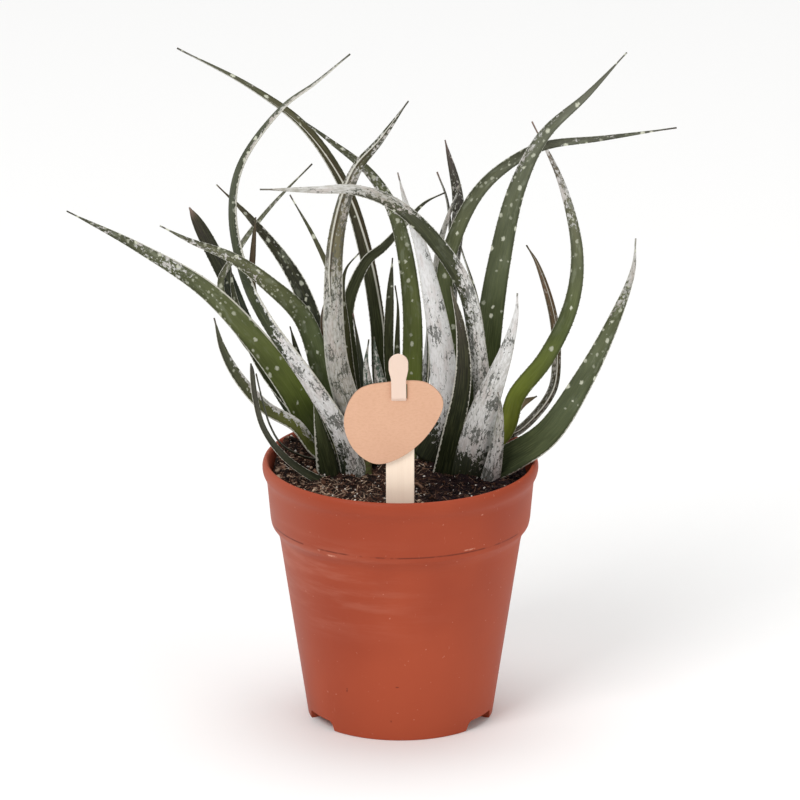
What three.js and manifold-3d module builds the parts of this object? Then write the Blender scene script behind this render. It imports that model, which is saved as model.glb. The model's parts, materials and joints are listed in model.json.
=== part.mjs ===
// A potted aloe: a clump of narrow, channelled, silver-flecked leaves in a round nursery pot,
// with a wooden stick in the soil that carries a bare rounded tag.
// Millimetres, +Z up, the front of the pot towards -Y. The origin lies on the surface that the
// pot stands on, under the middle of the whole part's box.

import * as THREE from "three";
import { mergeVertices } from "three/addons/utils/BufferGeometryUtils.js";
import Module from "manifold-3d";

const wasm = await Module();
wasm.setup();

// Clearance kept between neighbouring pieces.
const gap = 0.3;

// The pot: outer radii and heights, wall, floor and feet. A rib runs inwards from each side of
// the notches between its feet.
const pot = {
  height: 101.5,
  lipRadius: 52.5,
  lipDepth: 7,
  collarTopRadius: 50.8,
  collarFootRadius: 49.4,
  collarFootHeight: 78.5,
  stepRadius: 46.4,
  stepHeight: 73,
  baseRadius: 35.1,
  wall: 1.5,
  footHeight: 3.9,
  floorThickness: 1.6,
  footWidth: 2.2,
  feet: 3,
  notchDegrees: 28,
  ribThickness: 1.6,
  ribInner: 25,
  drainHoles: 6,
  drainRadius: 3.5,
  drainCircle: 21,
  segments: 48,
};

// The soil: its level in the middle, its banks towards the back and the left wall, its mounds
// and its lumps.
const soil = {
  level: 92.5,
  backBank: 7,
  leftBank: 4.5,
  mounds: [
    { x: -40, y: 22, height: 2.5, spread: 10 },
    { x: -41, y: 17, height: 4, spread: 6.5 },
    { x: 12, y: 14, height: 2.5, spread: 22 },
  ],
  highestAtWall: 99.6,
  lump: 0.6,
  rings: 9,
  segments: 42,
};

// The label stick and its tag. The stick jogs forward through the tag's slot.
const stick = {
  width: 10.7,
  thickness: 1.2,
  bottom: 52,
  back: -40,
  shoulder: 136,
  neckWidth: 5.7,
  headWidth: 7.4,
  headHeight: 152.6,
  top: 159.2,
  jogStart: 141.4,
  jogEnd: 145.9,
  jogForward: 3,
};
const tag = {
  thickness: 1.2,
  front: -42.15,
  slotWidth: 6.6,
  slotBottom: 141,
  slotTop: 145.9,
};

// The plantlets' short stems: where each stands, how far it reaches into the soil and out of it.
const stems = {
  left: { x: -25, y: 9, radius: 3.8, top: 104 },
  front: { x: -14, y: 6, radius: 3.6, top: 104 },
  middle: { x: 5, y: 17, radius: 4.2, top: 107 },
  right: { x: 28, y: 10, radius: 4.2, top: 106 },
};
const stemBottom = 74;
const stemRootRadius = 2.4;

// Leaves. Each route runs from the stem to the tip as [across, up, back]: across and up as they
// are seen along a sight line that looks down on the pot by sightTilt, back as depth. So a leaf
// can lean forward or back and still show the same outline from the front.
// width is the blade's full width at its base. neck is the share of it that a blade keeps above
// a clasping base. point is how long the blade stays wide before it runs out to its tip.
// turn is how far the channelled face looks away from the front, in degrees, at base and tip.
// A blade is cut clear of the blades that are listed before it.
const sightTilt = THREE.MathUtils.degToRad(19.2);
const leafSides = 8;
const slimLeafSides = 6;
const slimLeafWidth = 3;
const leafStepLength = 9.4;
const leafLeastSteps = 7;
const leafTipWidth = 0.8;
const leafCup = 0.17;
const leafThickness = 0.3;
const leafLeastThickness = 1;
const leafEdgeRound = 0.5;

const leaves = {
  left_leaf_short: {
    stem: "left", width: 10, point: 1.4, turn: [200, 185],
    route: [[-26, 86.5, 3], [-28, 96, 0], [-31, 109, -3], [-33, 118, -4]],
  },
  front_leaf_tall: {
    stem: "front", width: 10.4, neck: 0.33, point: 8, turn: [180, 120],
    route: [
      [-16.5, 86.5, 4], [-22, 104, -3], [-34, 124, -5], [-51, 148, -3], [-59, 164, 11],
      [-64, 188, 18], [-61, 207, 18], [-45, 229, 16], [-32, 238.5, 15], [-19, 249, 14],
    ],
  },
  right_leaf_young: {
    stem: "right", width: 7.6, point: 1.4, turn: [180, 190],
    route: [[33.5, 85, 1], [35.5, 94, -4], [37.5, 106, -8], [38, 115, -10], [37, 121, -11]],
  },
  right_leaf_silver: {
    stem: "right", width: 15, point: 1.35, turn: [180, 150],
    route: [
      [25, 87, 4], [28, 101, -1], [32.4, 117, -5], [39.6, 136, -8], [43.8, 151, -9],
      [44.3, 158.5, -9],
    ],
  },
  right_leaf_low: {
    stem: "right", width: 12, point: 1.6, turn: [-20, -10],
    route: [
      [33, 91, 7], [44, 96.5, 0], [56.5, 105.5, -6], [70, 126, -10], [81, 148, -14], [88, 167, -17],
      [89, 179, -19],
    ],
  },
  left_leaf_broad: {
    stem: "left", width: 12, point: 1.6, turn: [30, 0],
    route: [
      [-27, 95, 11], [-34, 107, 11], [-42, 122, 8], [-55, 140, 4], [-73.5, 159.5, -3],
      [-99.3, 175.8, -12], [-126, 189.4, -22],
    ],
  },
  right_leaf_long_arch: {
    stem: "right", width: 8, neck: 0.78, point: 4.5, turn: [150, 200],
    route: [
      [26.5, 95.5, 8], [30, 106, 6], [31, 118, 3], [29, 137, -3], [25, 159, -8], [14, 177, -13],
      [-2, 192, -18], [-17, 197.5, -22], [-32, 197.5, -26], [-53, 197.5, -32],
    ],
  },
  right_leaf_margin: {
    stem: "middle", width: 8, point: 3, turn: [20, 20],
    route: [
      [15, 87, 5], [19, 104, 1], [22.6, 120, -3], [23.6, 132, -6], [22.4, 147, -9],
      [19, 161, -10.5],
    ],
  },
  middle_leaf_white: {
    stem: "middle", width: 12, point: 1.7, turn: [175, 180],
    route: [
      [10, 96, 12], [14.5, 107, 8], [16.5, 121, 4], [15, 141, 1], [8, 175, -4], [2, 192.5, -7],
      [-1, 204, -9],
    ],
  },
  front_leaf_silver: {
    stem: "front", width: 12, neck: 0.55, point: 4, turn: [185, 170],
    route: [
      [-15, 95, 7], [-18, 110, 4], [-24, 132, 1], [-25.5, 156, 1], [-24, 182, 1], [-17, 205, -1],
      [-8, 216, -4], [3, 231, -8],
    ],
  },
  left_leaf_dotted: {
    stem: "left", width: 8.6, point: 2.5, turn: [10, 0],
    route: [
      [-24, 96.5, 12], [-27, 108, 15], [-31, 132, 16], [-37, 149, 14], [-50, 162, 5],
      [-64, 172, -2], [-80, 178.5, -6], [-91, 184, -8],
    ],
  },
  right_leaf_tall: {
    stem: "right", width: 11.2, point: 1.8, turn: [0, 0],
    route: [
      [28, 97, 13], [31, 114, 16], [33, 139, 19], [37.5, 170, 22], [44.5, 199, 26],
      [54.5, 218.5, 29], [71, 234, 33], [86, 250, 38],
    ],
  },
  middle_leaf_green: {
    stem: "middle", width: 8.4, point: 2, turn: [10, 0],
    route: [
      [3, 98, 16], [4, 120, 15], [4, 156, 13], [-2, 188, 10], [-11.2, 203.5, 8], [-27.2, 216.6, 4],
      [-40, 226, 0],
    ],
  },
  middle_leaf_arched: {
    stem: "middle", width: 7.2, point: 2.2, turn: [0, 20],
    route: [
      [8, 99, 20], [15, 107, 20], [20, 122, 20], [20, 144, 21], [16.6, 165, 23], [24.2, 188.5, 27],
      [33.3, 201.5, 29], [48.3, 212.3, 31], [57, 215.3, 32], [76, 217.5, 33], [105, 221.5, 35],
    ],
  },
  right_leaf_curved: {
    stem: "right", width: 7, point: 2.5, turn: [0, 20],
    route: [
      [31, 97, 13], [40, 107, 15], [44, 119.5, 17], [55.5, 134.5, 20], [65, 155, 25], [67, 175, 31],
      [61, 201, 39], [50, 224, 46],
    ],
  },
  middle_leaf_long: {
    stem: "middle", width: 6, point: 3.2, turn: [0, 55],
    route: [
      [1, 99.5, 21], [-7, 121, 27], [-9, 148, 31], [-14, 176, 36], [-22, 200, 42], [-37, 222, 48],
      [-57, 237, 53], [-85, 252, 60],
    ],
  },
  left_leaf_low: {
    stem: "left", width: 5.8, point: 4, turn: [40, 20],
    route: [
      [-27, 94.5, 6], [-33, 99, 3], [-40, 108, -2], [-51.5, 115, -8], [-62, 127, -14],
      [-67.5, 137.5, -17], [-70.5, 149, -20],
    ],
  },
  left_leaf_over_rim: {
    stem: "left", width: 4.2, neck: 0.55, point: 40, turn: [10, 30],
    route: [
      [-25, 86, 0], [-33, 88.5, -6], [-44.2, 96.5, -13], [-52, 107.3, -20], [-55.2, 119, -24],
      [-56.6, 131.8, -26],
    ],
  },
  left_leaf_dark: {
    stem: "left", width: 9.6, point: 1.8, turn: [0, 0],
    route: [
      [-24, 97.5, 14], [-26, 118, 21], [-31, 139, 25], [-39.5, 163.5, 29], [-56, 186, 34],
      [-70, 200, 40],
    ],
  },
  left_leaf_shade: {
    stem: "left", width: 6, point: 3, turn: [0, 0],
    route: [
      [-26.5, 97.5, 12.5], [-37, 112, 15], [-50.5, 128.5, 18], [-60, 146.5, 20], [-63.5, 159, 21],
      [-64.5, 168.5, 22],
    ],
  },
  left_leaf_hooked: {
    stem: "left", width: 5, neck: 0.6, point: 4, turn: [10, 30],
    route: [
      [-28, 97, 13], [-42, 121, 28], [-59, 140, 36], [-67, 154, 40], [-68.5, 164, 42],
      [-64, 172, 43.5], [-58.5, 180.6, 45.5], [-48.6, 192.8, 48], [-33.6, 208, 51],
    ],
  },
  left_leaf_brown_tip: {
    stem: "left", width: 6, point: 20, turn: [0, 0],
    route: [
      [-27, 97.5, 14], [-38, 110, 28], [-49, 127.5, 38], [-59, 147, 46], [-66.2, 164, 51],
      [-74.5, 180.5, 55], [-80.5, 191.5, 57],
    ],
  },
  left_leaf_back: {
    stem: "left", width: 3.2, neck: 0.85, point: 12, turn: [0, 0],
    route: [
      [-23, 97.5, 15], [-36.5, 129, 19], [-44.5, 140.5, 21], [-50.5, 148, 22], [-55, 156, 23],
      [-56.5, 164, 24], [-56, 175, 25], [-55, 187.5, 27],
    ],
  },
  left_leaf_thin: {
    stem: "left", width: 2.4, point: 3, turn: [90, 90],
    route: [
      [-28, 94.5, 6], [-38, 97, -2], [-45.4, 101.5, -8], [-49.5, 108.5, -11], [-52.3, 118, -14],
      [-54.6, 128, -16],
    ],
  },
  left_leaf_hidden: {
    stem: "left", width: 3.4, point: 5, turn: [0, 0],
    route: [[-26, 98, 12], [-31, 114, 18], [-38, 132, 21], [-42, 146, 22]],
  },
  left_leaf_brown: {
    stem: "left", width: 2.8, point: 3, turn: [0, 40],
    route: [[-22, 97, 11], [-26, 129, 20], [-30, 148, 20], [-27, 161, 20]],
  },
  front_leaf_fine: {
    stem: "front", width: 3, point: 4, turn: [0, 0],
    route: [[-15, 95, 9], [-20, 129, 14], [-24.8, 160.5, 18], [-32.4, 179, 21], [-42, 196, 25]],
  },
  front_leaf_olive: {
    stem: "front", width: 5.5, point: 2, turn: [0, 0],
    route: [
      [-13, 95, 8], [-19, 124, 10], [-21, 146.5, 10], [-22, 159.5, 10], [-20.5, 168, 10],
      [-15.5, 174, 10],
    ],
  },
  front_leaf_dark: {
    stem: "front", width: 6, point: 3, turn: [0, 30],
    route: [
      [-11, 93, 9], [-14, 120, 14], [-20, 141, 18], [-20, 155, 21], [-13, 171, 26],
      [-6.5, 176.5, 29], [1, 184.5, 32], [9, 193, 36], [17, 197, 39],
    ],
  },
  front_leaf_slip: {
    stem: "front", width: 3, point: 3, turn: [0, 0],
    route: [[-12, 95, 7], [-14, 124, 9], [-16, 139, 9], [-18, 151, 9]],
  },
  middle_leaf_flecked: {
    stem: "middle", width: 7, point: 1.6, turn: [180, 180],
    route: [[0, 97, 14], [-9, 112, 8], [-13, 131, 3], [-12, 141, 2]],
  },
  middle_leaf_stub: {
    stem: "middle", width: 8, point: 1.6, turn: [180, 180],
    route: [[2, 97.5, 14], [-5, 112, 10], [-9, 133, 6], [-10, 142, 5]],
  },
  middle_leaf_shade: {
    stem: "middle", width: 4, point: 6, turn: [0, 0],
    route: [[3, 99.5, 20], [-4, 129, 21], [-4, 156, 22], [-3, 172, 22]],
  },
  middle_leaf_slip: {
    stem: "middle", width: 3.8, point: 2, turn: [0, 0],
    route: [[4, 99.5, 20], [-1, 129, 18], [-1, 154, 18], [-2, 161.5, 18]],
  },
  middle_leaf_edge: {
    stem: "middle", width: 3, point: 3, turn: [90, 90],
    route: [[6, 95, 15], [10, 124, 14], [10.5, 139, 13], [9.5, 156, 12]],
  },
  middle_leaf_tip: {
    stem: "middle", width: 3.4, point: 5, turn: [180, 180],
    route: [[6, 99.5, 20], [11, 139, 27], [15, 177, 33], [19, 190, 34], [23, 200, 35]],
  },
  right_leaf_dry: {
    stem: "right", width: 4, point: 6, turn: [40, 20],
    route: [
      [31, 96, 15], [38, 103.5, 20], [46, 107.5, 24], [57.4, 121.5, 29], [59.2, 135, 33],
      [58, 150, 36], [52, 170, 40], [48, 177, 41],
    ],
  },
  right_leaf_withered: {
    stem: "right", width: 4.6, point: 5, turn: [20, 20],
    route: [[32, 97, 15], [38, 107, 20.5], [46, 116.5, 26], [52, 119.5, 29]],
  },
  right_leaf_behind: {
    stem: "right", width: 5.4, point: 8, turn: [0, 0],
    route: [[26, 96, 16], [20, 130, 27], [19, 160, 33], [22, 193, 39], [17, 217, 45]],
  },
  right_leaf_fine: {
    stem: "right", width: 2.6, point: 6, turn: [60, 60],
    route: [[24, 96, 16], [19, 149, 38], [18, 193, 51], [14, 205, 55]],
  },
  right_leaf_slip: {
    stem: "right", width: 2.8, point: 4, turn: [60, 60],
    route: [[29, 95, 12], [32, 129, 11], [29, 156, 12], [23, 176, 12]],
  },
  back_leaf_left: {
    stem: "left", width: 6, point: 2, turn: [180, 150],
    route: [[-21, 98, 17], [-19, 111, 32], [-16, 120, 47], [-14.5, 120.5, 62]],
  },
  back_leaf_middle: {
    stem: "middle", width: 7, point: 2, turn: [180, 190],
    route: [[4, 99.5, 21], [2, 111, 36], [1, 120, 52], [3, 121, 68]],
  },
  back_leaf_right: {
    stem: "middle", width: 6.4, point: 2, turn: [180, 200],
    route: [[8, 99.5, 20], [14, 110, 34], [20, 119, 49], [23, 121, 64]],
  },
  back_leaf_low: {
    stem: "right", width: 5.6, point: 2, turn: [190, 210],
    route: [[29, 98, 14], [31, 107, 28], [32, 113, 42], [33, 112, 56]],
  },
};

// Geometry and solids.
function closedGeometry(geometry) {
  geometry.deleteAttribute("normal");
  geometry.deleteAttribute("uv");
  return mergeVertices(geometry, 1e-4);
}

function solidOf(geometry) {
  const closed = closedGeometry(geometry);
  return new wasm.Manifold(
    new wasm.Mesh({
      numProp: 3,
      vertProperties: closed.attributes.position.array,
      triVerts: new Uint32Array(closed.index.array),
    }),
  );
}

function geometryOf(solid) {
  const mesh = solid.getMesh();
  const geometry = new THREE.BufferGeometry();
  geometry.setAttribute("position", new THREE.BufferAttribute(mesh.vertProperties, 3));
  geometry.setIndex(new THREE.BufferAttribute(mesh.triVerts, 1));
  geometry.computeVertexNormals();
  return geometry;
}

// The largest body of a solid, so that a scrap left by a cut is dropped.
function mainBody(solid) {
  const bodies = solid.decompose();
  return bodies.reduce((best, body) => (body.volume() > best.volume() ? body : best));
}

function turned(points, segments) {
  const profile = points.map(([radius, height]) => new THREE.Vector2(radius, height));
  return new THREE.LatheGeometry(profile, segments).rotateX(Math.PI / 2);
}

// The pot.
const floorTop = pot.footHeight + pot.floorThickness;
const taper = (pot.stepRadius - pot.baseRadius) / pot.stepHeight;

function potWallRadius(height) {
  return pot.baseRadius + taper * height - pot.wall;
}

// The inside of the pot from floor to lip, as [radius, height].
const potInside = [
  [potWallRadius(floorTop), floorTop],
  [potWallRadius(pot.stepHeight - 2), pot.stepHeight - 2],
  [pot.collarFootRadius - pot.wall - 0.9, pot.collarFootHeight],
  [pot.collarTopRadius - pot.wall, pot.height - pot.lipDepth],
  [pot.collarTopRadius - pot.wall + 0.5, pot.height - 1.6],
];

function makePot() {
  const lipBottom = pot.height - pot.lipDepth;
  const profile = [
    [0, pot.footHeight],
    [pot.baseRadius - pot.footWidth, pot.footHeight],
    [pot.baseRadius - pot.footWidth, 0],
    [pot.baseRadius, 0],
    [pot.baseRadius + taper * (pot.stepHeight - 2.6), pot.stepHeight - 2.6],
    [pot.stepRadius + 0.2, pot.stepHeight],
    [pot.collarFootRadius - 1.6, pot.stepHeight + 1.9],
    [pot.collarFootRadius - 0.4, pot.collarFootHeight - 2],
    [pot.collarFootRadius, pot.collarFootHeight],
    [pot.collarTopRadius - 0.1, lipBottom - 1.8],
    [pot.collarTopRadius + 0.4, lipBottom],
    [pot.lipRadius - 0.3, lipBottom + 2],
    [pot.lipRadius, lipBottom + 3.5],
    [pot.lipRadius, pot.height - 2.2],
    [pot.lipRadius - 0.5, pot.height - 0.7],
    [pot.lipRadius - 1.3, pot.height],
    [pot.lipRadius - 2, pot.height - 0.3],
    ...potInside.toReversed(),
    [0, floorTop],
  ];
  let body = solidOf(turned(profile, pot.segments));
  const notchHalf = pot.baseRadius * Math.sin(THREE.MathUtils.degToRad(pot.notchDegrees / 2));
  const notch = new THREE.Shape([
    new THREE.Vector2(-notchHalf - 0.6, -1),
    new THREE.Vector2(notchHalf + 0.6, -1),
    new THREE.Vector2(notchHalf, 1.2),
    new THREE.Vector2(notchHalf - 1.6, pot.footHeight),
    new THREE.Vector2(1.6 - notchHalf, pot.footHeight),
    new THREE.Vector2(-notchHalf, 1.2),
  ]);
  const ribReach = pot.baseRadius - pot.footWidth - pot.ribInner;
  const ribHeight = pot.footHeight + 0.6;
  for (let foot = 0; foot < pot.feet; foot += 1) {
    const cutter = new THREE.ExtrudeGeometry(notch, { depth: 12, bevelEnabled: false })
      .rotateX(Math.PI / 2)
      .translate(0, -pot.baseRadius + 7, 0)
      .rotateZ(((foot + 0.5) * 2 * Math.PI) / pot.feet);
    body = body.subtract(solidOf(cutter));
    for (const hand of [-1, 1]) {
      const across = hand * (notchHalf + pot.ribThickness / 2);
      const rib = new THREE.BoxGeometry(pot.ribThickness, ribReach, ribHeight)
        .translate(across, -pot.ribInner - ribReach / 2, ribHeight / 2)
        .rotateZ(((foot + 0.5) * 2 * Math.PI) / pot.feet);
      body = body.add(solidOf(rib));
    }
  }
  for (let hole = 0; hole < pot.drainHoles; hole += 1) {
    const angle = (hole * 2 * Math.PI) / pot.drainHoles;
    const cutter = new THREE.CylinderGeometry(pot.drainRadius, pot.drainRadius, 10, 12)
      .rotateX(Math.PI / 2)
      .translate(pot.drainCircle * Math.cos(angle), pot.drainCircle * Math.sin(angle), floorTop);
    body = body.subtract(solidOf(cutter));
  }
  return body;
}

// The soil's surface: banks to the back and the left, mounds and small lumps.
function soilHeight(x, y) {
  const reach = pot.collarTopRadius;
  const lumps =
    Math.sin(x * 0.55 + 1.3 * Math.sin(y * 0.31)) + Math.cos(y * 0.62 - 1.1 * Math.sin(x * 0.27));
  let height = soil.level + soil.lump * lumps;
  height += soil.backBank * (Math.max(0, y) / reach) ** 2;
  height += soil.leftBank * (Math.max(0, -x) / reach) ** 2;
  for (const mound of soil.mounds) {
    const away = Math.hypot(x - mound.x, y - mound.y) / mound.spread;
    height += mound.height * Math.exp(-away * away);
  }
  return height;
}

function potInnerRadius(height) {
  const above = potInside.findIndex((corner) => corner[1] >= height);
  const [lowRadius, low] = potInside[above - 1];
  const [highRadius, high] = potInside[above];
  return THREE.MathUtils.mapLinear(height, low, high, lowRadius, highRadius);
}

function makeSoil() {
  const rim = potInnerRadius(soil.level) - gap;
  const profile = [];
  for (let ring = 0; ring <= soil.rings; ring += 1) profile.push([(rim * ring) / soil.rings, soil.level]);
  const walls = potInside.slice(0, 3).toReversed();
  for (const [radius, height] of walls) profile.push([radius - gap, height]);
  profile.at(-1)[1] += gap;
  profile.push([0, floorTop + gap]);
  const geometry = closedGeometry(turned(profile.toReversed(), soil.segments));
  const place = geometry.attributes.position;
  for (let i = 0; i < place.count; i += 1) {
    const [x, y] = [place.getX(i), place.getY(i)];
    if (Math.abs(place.getZ(i) - soil.level) > 1e-3) continue;
    const atWall = Math.hypot(x, y) > rim - 0.1;
    const height = atWall ? Math.min(soilHeight(x, y), soil.highestAtWall) : soilHeight(x, y);
    const reach = atWall ? (potInnerRadius(height) - gap) / rim : 1;
    place.setXYZ(i, x * reach, y * reach, height);
  }
  return solidOf(geometry);
}

// The stick: its front outline met with its side profile, so that the flat strip jogs forward.
function makeStick(grow = 0) {
  const half = stick.width / 2 + grow;
  const neck = stick.neckWidth / 2 + grow;
  const head = stick.headWidth / 2 + grow;
  const outline = new THREE.Shape();
  outline.moveTo(-half + 2, stick.bottom - grow);
  outline.lineTo(half - 2, stick.bottom - grow);
  outline.lineTo(half, stick.bottom + 8);
  outline.lineTo(half, stick.shoulder);
  outline.lineTo(neck, stick.shoulder + 2.5);
  outline.lineTo(neck, stick.headHeight - 5);
  outline.quadraticCurveTo(head, stick.headHeight - 3, head, stick.headHeight);
  outline.absarc(0, stick.headHeight + 2, head, 0, Math.PI, false);
  outline.lineTo(-head, stick.headHeight);
  outline.quadraticCurveTo(-head, stick.headHeight - 3, -neck, stick.headHeight - 5);
  outline.lineTo(-neck, stick.shoulder + 2.5);
  outline.lineTo(-half, stick.shoulder);
  outline.lineTo(-half, stick.bottom + 8);
  const front = new THREE.ExtrudeGeometry(outline, { depth: 30, bevelEnabled: false, curveSegments: 8 })
    .rotateX(Math.PI / 2)
    .translate(0, stick.back + 15, 0);
  const thick = stick.thickness / 2 + grow;
  const ahead = stick.back - stick.jogForward;
  const side = new THREE.Shape([
    new THREE.Vector2(stick.back - thick, stick.bottom - 1),
    new THREE.Vector2(stick.back + thick, stick.bottom - 1),
    new THREE.Vector2(stick.back + thick, stick.jogStart),
    new THREE.Vector2(ahead + thick, stick.jogEnd),
    new THREE.Vector2(ahead + thick, stick.top + 5),
    new THREE.Vector2(ahead - thick, stick.top + 5),
    new THREE.Vector2(ahead - thick, stick.jogEnd - 0.6),
    new THREE.Vector2(stick.back - thick, stick.jogStart - 0.6),
  ]);
  const across = new THREE.ExtrudeGeometry(side, { depth: 40, bevelEnabled: false })
    .translate(0, 0, -20)
    .applyMatrix4(
      new THREE.Matrix4().makeBasis(
        new THREE.Vector3(0, 1, 0),
        new THREE.Vector3(0, 0, 1),
        new THREE.Vector3(1, 0, 0),
      ),
    );
  return solidOf(front).intersect(solidOf(across));
}

// The tag: a rounded pebble outline through its named corners, with the slot for the stick.
const tagCorners = [
  [-21.4, 131.5],
  [-17.6, 119.7],
  [-9.5, 114],
  [-0.2, 116.4],
  [10.5, 125.8],
  [16.2, 138.8],
  [10.5, 146.1],
  [-3.6, 146.7],
  [-16.1, 143.4],
];

function makeTag() {
  const edge = new THREE.CatmullRomCurve3(
    tagCorners.map(([x, z]) => new THREE.Vector3(x, z, 0)),
    true,
  );
  const outline = new THREE.Shape(edge.getPoints(40).map((point) => new THREE.Vector2(point.x, point.y)));
  const slot = new THREE.Path();
  const half = tag.slotWidth / 2;
  slot.moveTo(-half, tag.slotBottom);
  slot.lineTo(-half, tag.slotTop);
  slot.lineTo(half, tag.slotTop);
  slot.lineTo(half, tag.slotBottom);
  slot.closePath();
  outline.holes.push(slot);
  return solidOf(
    new THREE.ExtrudeGeometry(outline, { depth: tag.thickness, bevelEnabled: false })
      .rotateX(Math.PI / 2)
      .translate(0, tag.front + tag.thickness, 0),
  );
}

// A short stem: a root stub in the soil, a swollen neck and a blunt growing point.
function makeStem({ x, y, radius, top }, grow = 0) {
  const profile = [
    [0, stemBottom - grow],
    [stemRootRadius + grow, stemBottom - grow],
    [radius * 0.8 + grow, soil.level - 6],
    [radius + grow, soil.level],
    [radius * 0.8 + grow, soil.level + 6],
    [radius * 0.35 + grow, top + grow],
    [0, top + grow],
  ];
  return solidOf(turned(profile, 12).translate(x, y, 0));
}

// A point of a leaf's route, from its place across and up the sight and its depth.
function spot([across, up, back]) {
  return new THREE.Vector3(across, back, (up - back * Math.sin(sightTilt)) / Math.cos(sightTilt));
}

const towardsFront = new THREE.Vector3(0, -Math.cos(sightTilt), Math.sin(sightTilt));

// A leaf: a cylinder's points laid along the route as a blunt-edged crescent that narrows to
// the tip. grow sets every face outwards.
function makeLeaf(leaf, grow = 0) {
  const { width, neck = 1, point, turn } = leaf;
  const route = new THREE.CatmullRomCurve3(leaf.route.map(spot), false, "centripetal");
  const sides = width > slimLeafWidth ? leafSides : slimLeafSides;
  const steps = Math.max(leafLeastSteps, Math.round(route.getLength() / leafStepLength));
  const geometry = closedGeometry(
    new THREE.CylinderGeometry(1, 1, 1, sides, steps, false, Math.PI / 2 - Math.PI / sides),
  );
  const place = geometry.attributes.position;
  for (let i = 0; i < place.count; i += 1) {
    const along = THREE.MathUtils.clamp(place.getY(i) + 0.5, 0, 1);
    const rim = Math.hypot(place.getX(i), place.getZ(i));
    const across = place.getX(i) / Math.cos(Math.PI / sides);
    const outward = place.getZ(i);
    const blade = width * (neck + (1 - neck) * (1 - along) ** 3) * (1 - along ** point);
    const wide = Math.max(blade, leafTipWidth);
    const thick = Math.max(wide * leafThickness, leafLeastThickness) * (outward > 0 ? 0.35 : 0.65);
    const tangent = route.getTangentAt(along);
    const roll = THREE.MathUtils.degToRad(THREE.MathUtils.lerp(turn[0], turn[1], along));
    const face = towardsFront.clone().addScaledVector(tangent, -towardsFront.dot(tangent)).normalize();
    face.applyAxisAngle(tangent, roll);
    const side = tangent.clone().cross(face);
    const lift = Math.sign(outward) * rim * (Math.abs(outward) ** leafEdgeRound * thick + 1.4 * grow);
    const beyond = along < 0.001 ? -grow : along > 0.999 ? grow : 0;
    const spotAt = route
      .getPointAt(along)
      .addScaledVector(side, across * (wide / 2) + Math.sign(across) * rim * 1.5 * grow)
      .addScaledVector(face, leafCup * wide * across ** 2 + lift)
      .addScaledVector(tangent, beyond);
    place.setXYZ(i, spotAt.x, spotAt.y, spotAt.z);
  }
  return solidOf(geometry);
}

// The whole part.
const colours = {
  terracotta: { color: 0xac523c, roughness: 0.55 },
  peat: { color: 0x3a2a22, roughness: 1 },
  paleWood: { color: 0xfae2cd, roughness: 0.7 },
  kraft: { color: 0xe4b698, roughness: 0.8 },
  stem: { color: 0x6f7a3c, roughness: 0.7 },
  leaf: { color: 0x5f6f4a, roughness: 0.5 },
  dryLeaf: { color: 0x5a4636, roughness: 0.8 },
};

function named(name, solid, colour) {
  const material = new THREE.MeshStandardMaterial({ ...colour, metalness: 0 });
  const mesh = new THREE.Mesh(geometryOf(solid), material);
  mesh.name = name;
  return mesh;
}

function makePlants() {
  const group = new THREE.Group();
  const cleared = Object.values(stems).map((stem) => makeStem(stem, gap));
  for (const [name, stem] of Object.entries(stems)) {
    group.add(named(`${name}_stem`, makeStem(stem), colours.stem));
  }
  for (const [name, leaf] of Object.entries(leaves)) {
    let blade = makeLeaf(leaf);
    for (const other of cleared) blade = blade.subtract(other);
    const dry = /brown|dry|withered/.test(name);
    group.add(named(name, mainBody(blade), dry ? colours.dryLeaf : colours.leaf));
    cleared.push(makeLeaf(leaf, gap));
  }
  return { group, cleared };
}

const { group: plants, cleared } = makePlants();
let bed = makeSoil().subtract(makeStick(gap));
for (const other of cleared) bed = bed.subtract(other);

const part = new THREE.Group();
part.add(named("pot", makePot(), colours.terracotta));
part.add(named("soil", mainBody(bed), colours.peat));
part.add(named("label_stick", makeStick(), colours.paleWood));
part.add(named("label_tag", makeTag(), colours.kraft));
part.add(plants);

// The middle of the whole part's box goes over the origin.
const middle = new THREE.Box3().setFromObject(part).getCenter(new THREE.Vector3());
part.position.set(-middle.x, -middle.y, 0);

export default part;
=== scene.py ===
import json
import math
import random

import bmesh
import bpy
import numpy as np
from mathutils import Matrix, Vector, noise


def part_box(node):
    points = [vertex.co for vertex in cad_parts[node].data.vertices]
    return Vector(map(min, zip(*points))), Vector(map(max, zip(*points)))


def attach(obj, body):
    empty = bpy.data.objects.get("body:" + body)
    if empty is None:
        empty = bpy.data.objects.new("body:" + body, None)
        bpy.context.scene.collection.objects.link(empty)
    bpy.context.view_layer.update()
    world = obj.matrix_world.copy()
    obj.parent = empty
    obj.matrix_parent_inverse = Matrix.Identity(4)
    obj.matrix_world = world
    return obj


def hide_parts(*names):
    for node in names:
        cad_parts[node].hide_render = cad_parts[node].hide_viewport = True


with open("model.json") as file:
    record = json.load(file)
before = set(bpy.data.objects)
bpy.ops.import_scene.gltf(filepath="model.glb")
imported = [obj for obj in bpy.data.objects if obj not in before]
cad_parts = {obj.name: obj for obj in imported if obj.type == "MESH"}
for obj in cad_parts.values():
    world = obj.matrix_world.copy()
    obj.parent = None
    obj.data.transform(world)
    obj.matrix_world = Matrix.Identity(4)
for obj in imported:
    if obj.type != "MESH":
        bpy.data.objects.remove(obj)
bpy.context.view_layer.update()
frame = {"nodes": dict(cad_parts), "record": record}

mm = 0.001
sightTilt = math.radians(19.2)  # how far the camera looks down
potLow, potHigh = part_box("pot")
potMiddle = Vector(((potLow.x + potHigh.x) / 2, (potLow.y + potHigh.y) / 2, 0))
print("frame loaded, pot axis at", round(potMiddle.x / mm, 2), round(potMiddle.y / mm, 2), "mm")


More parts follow.
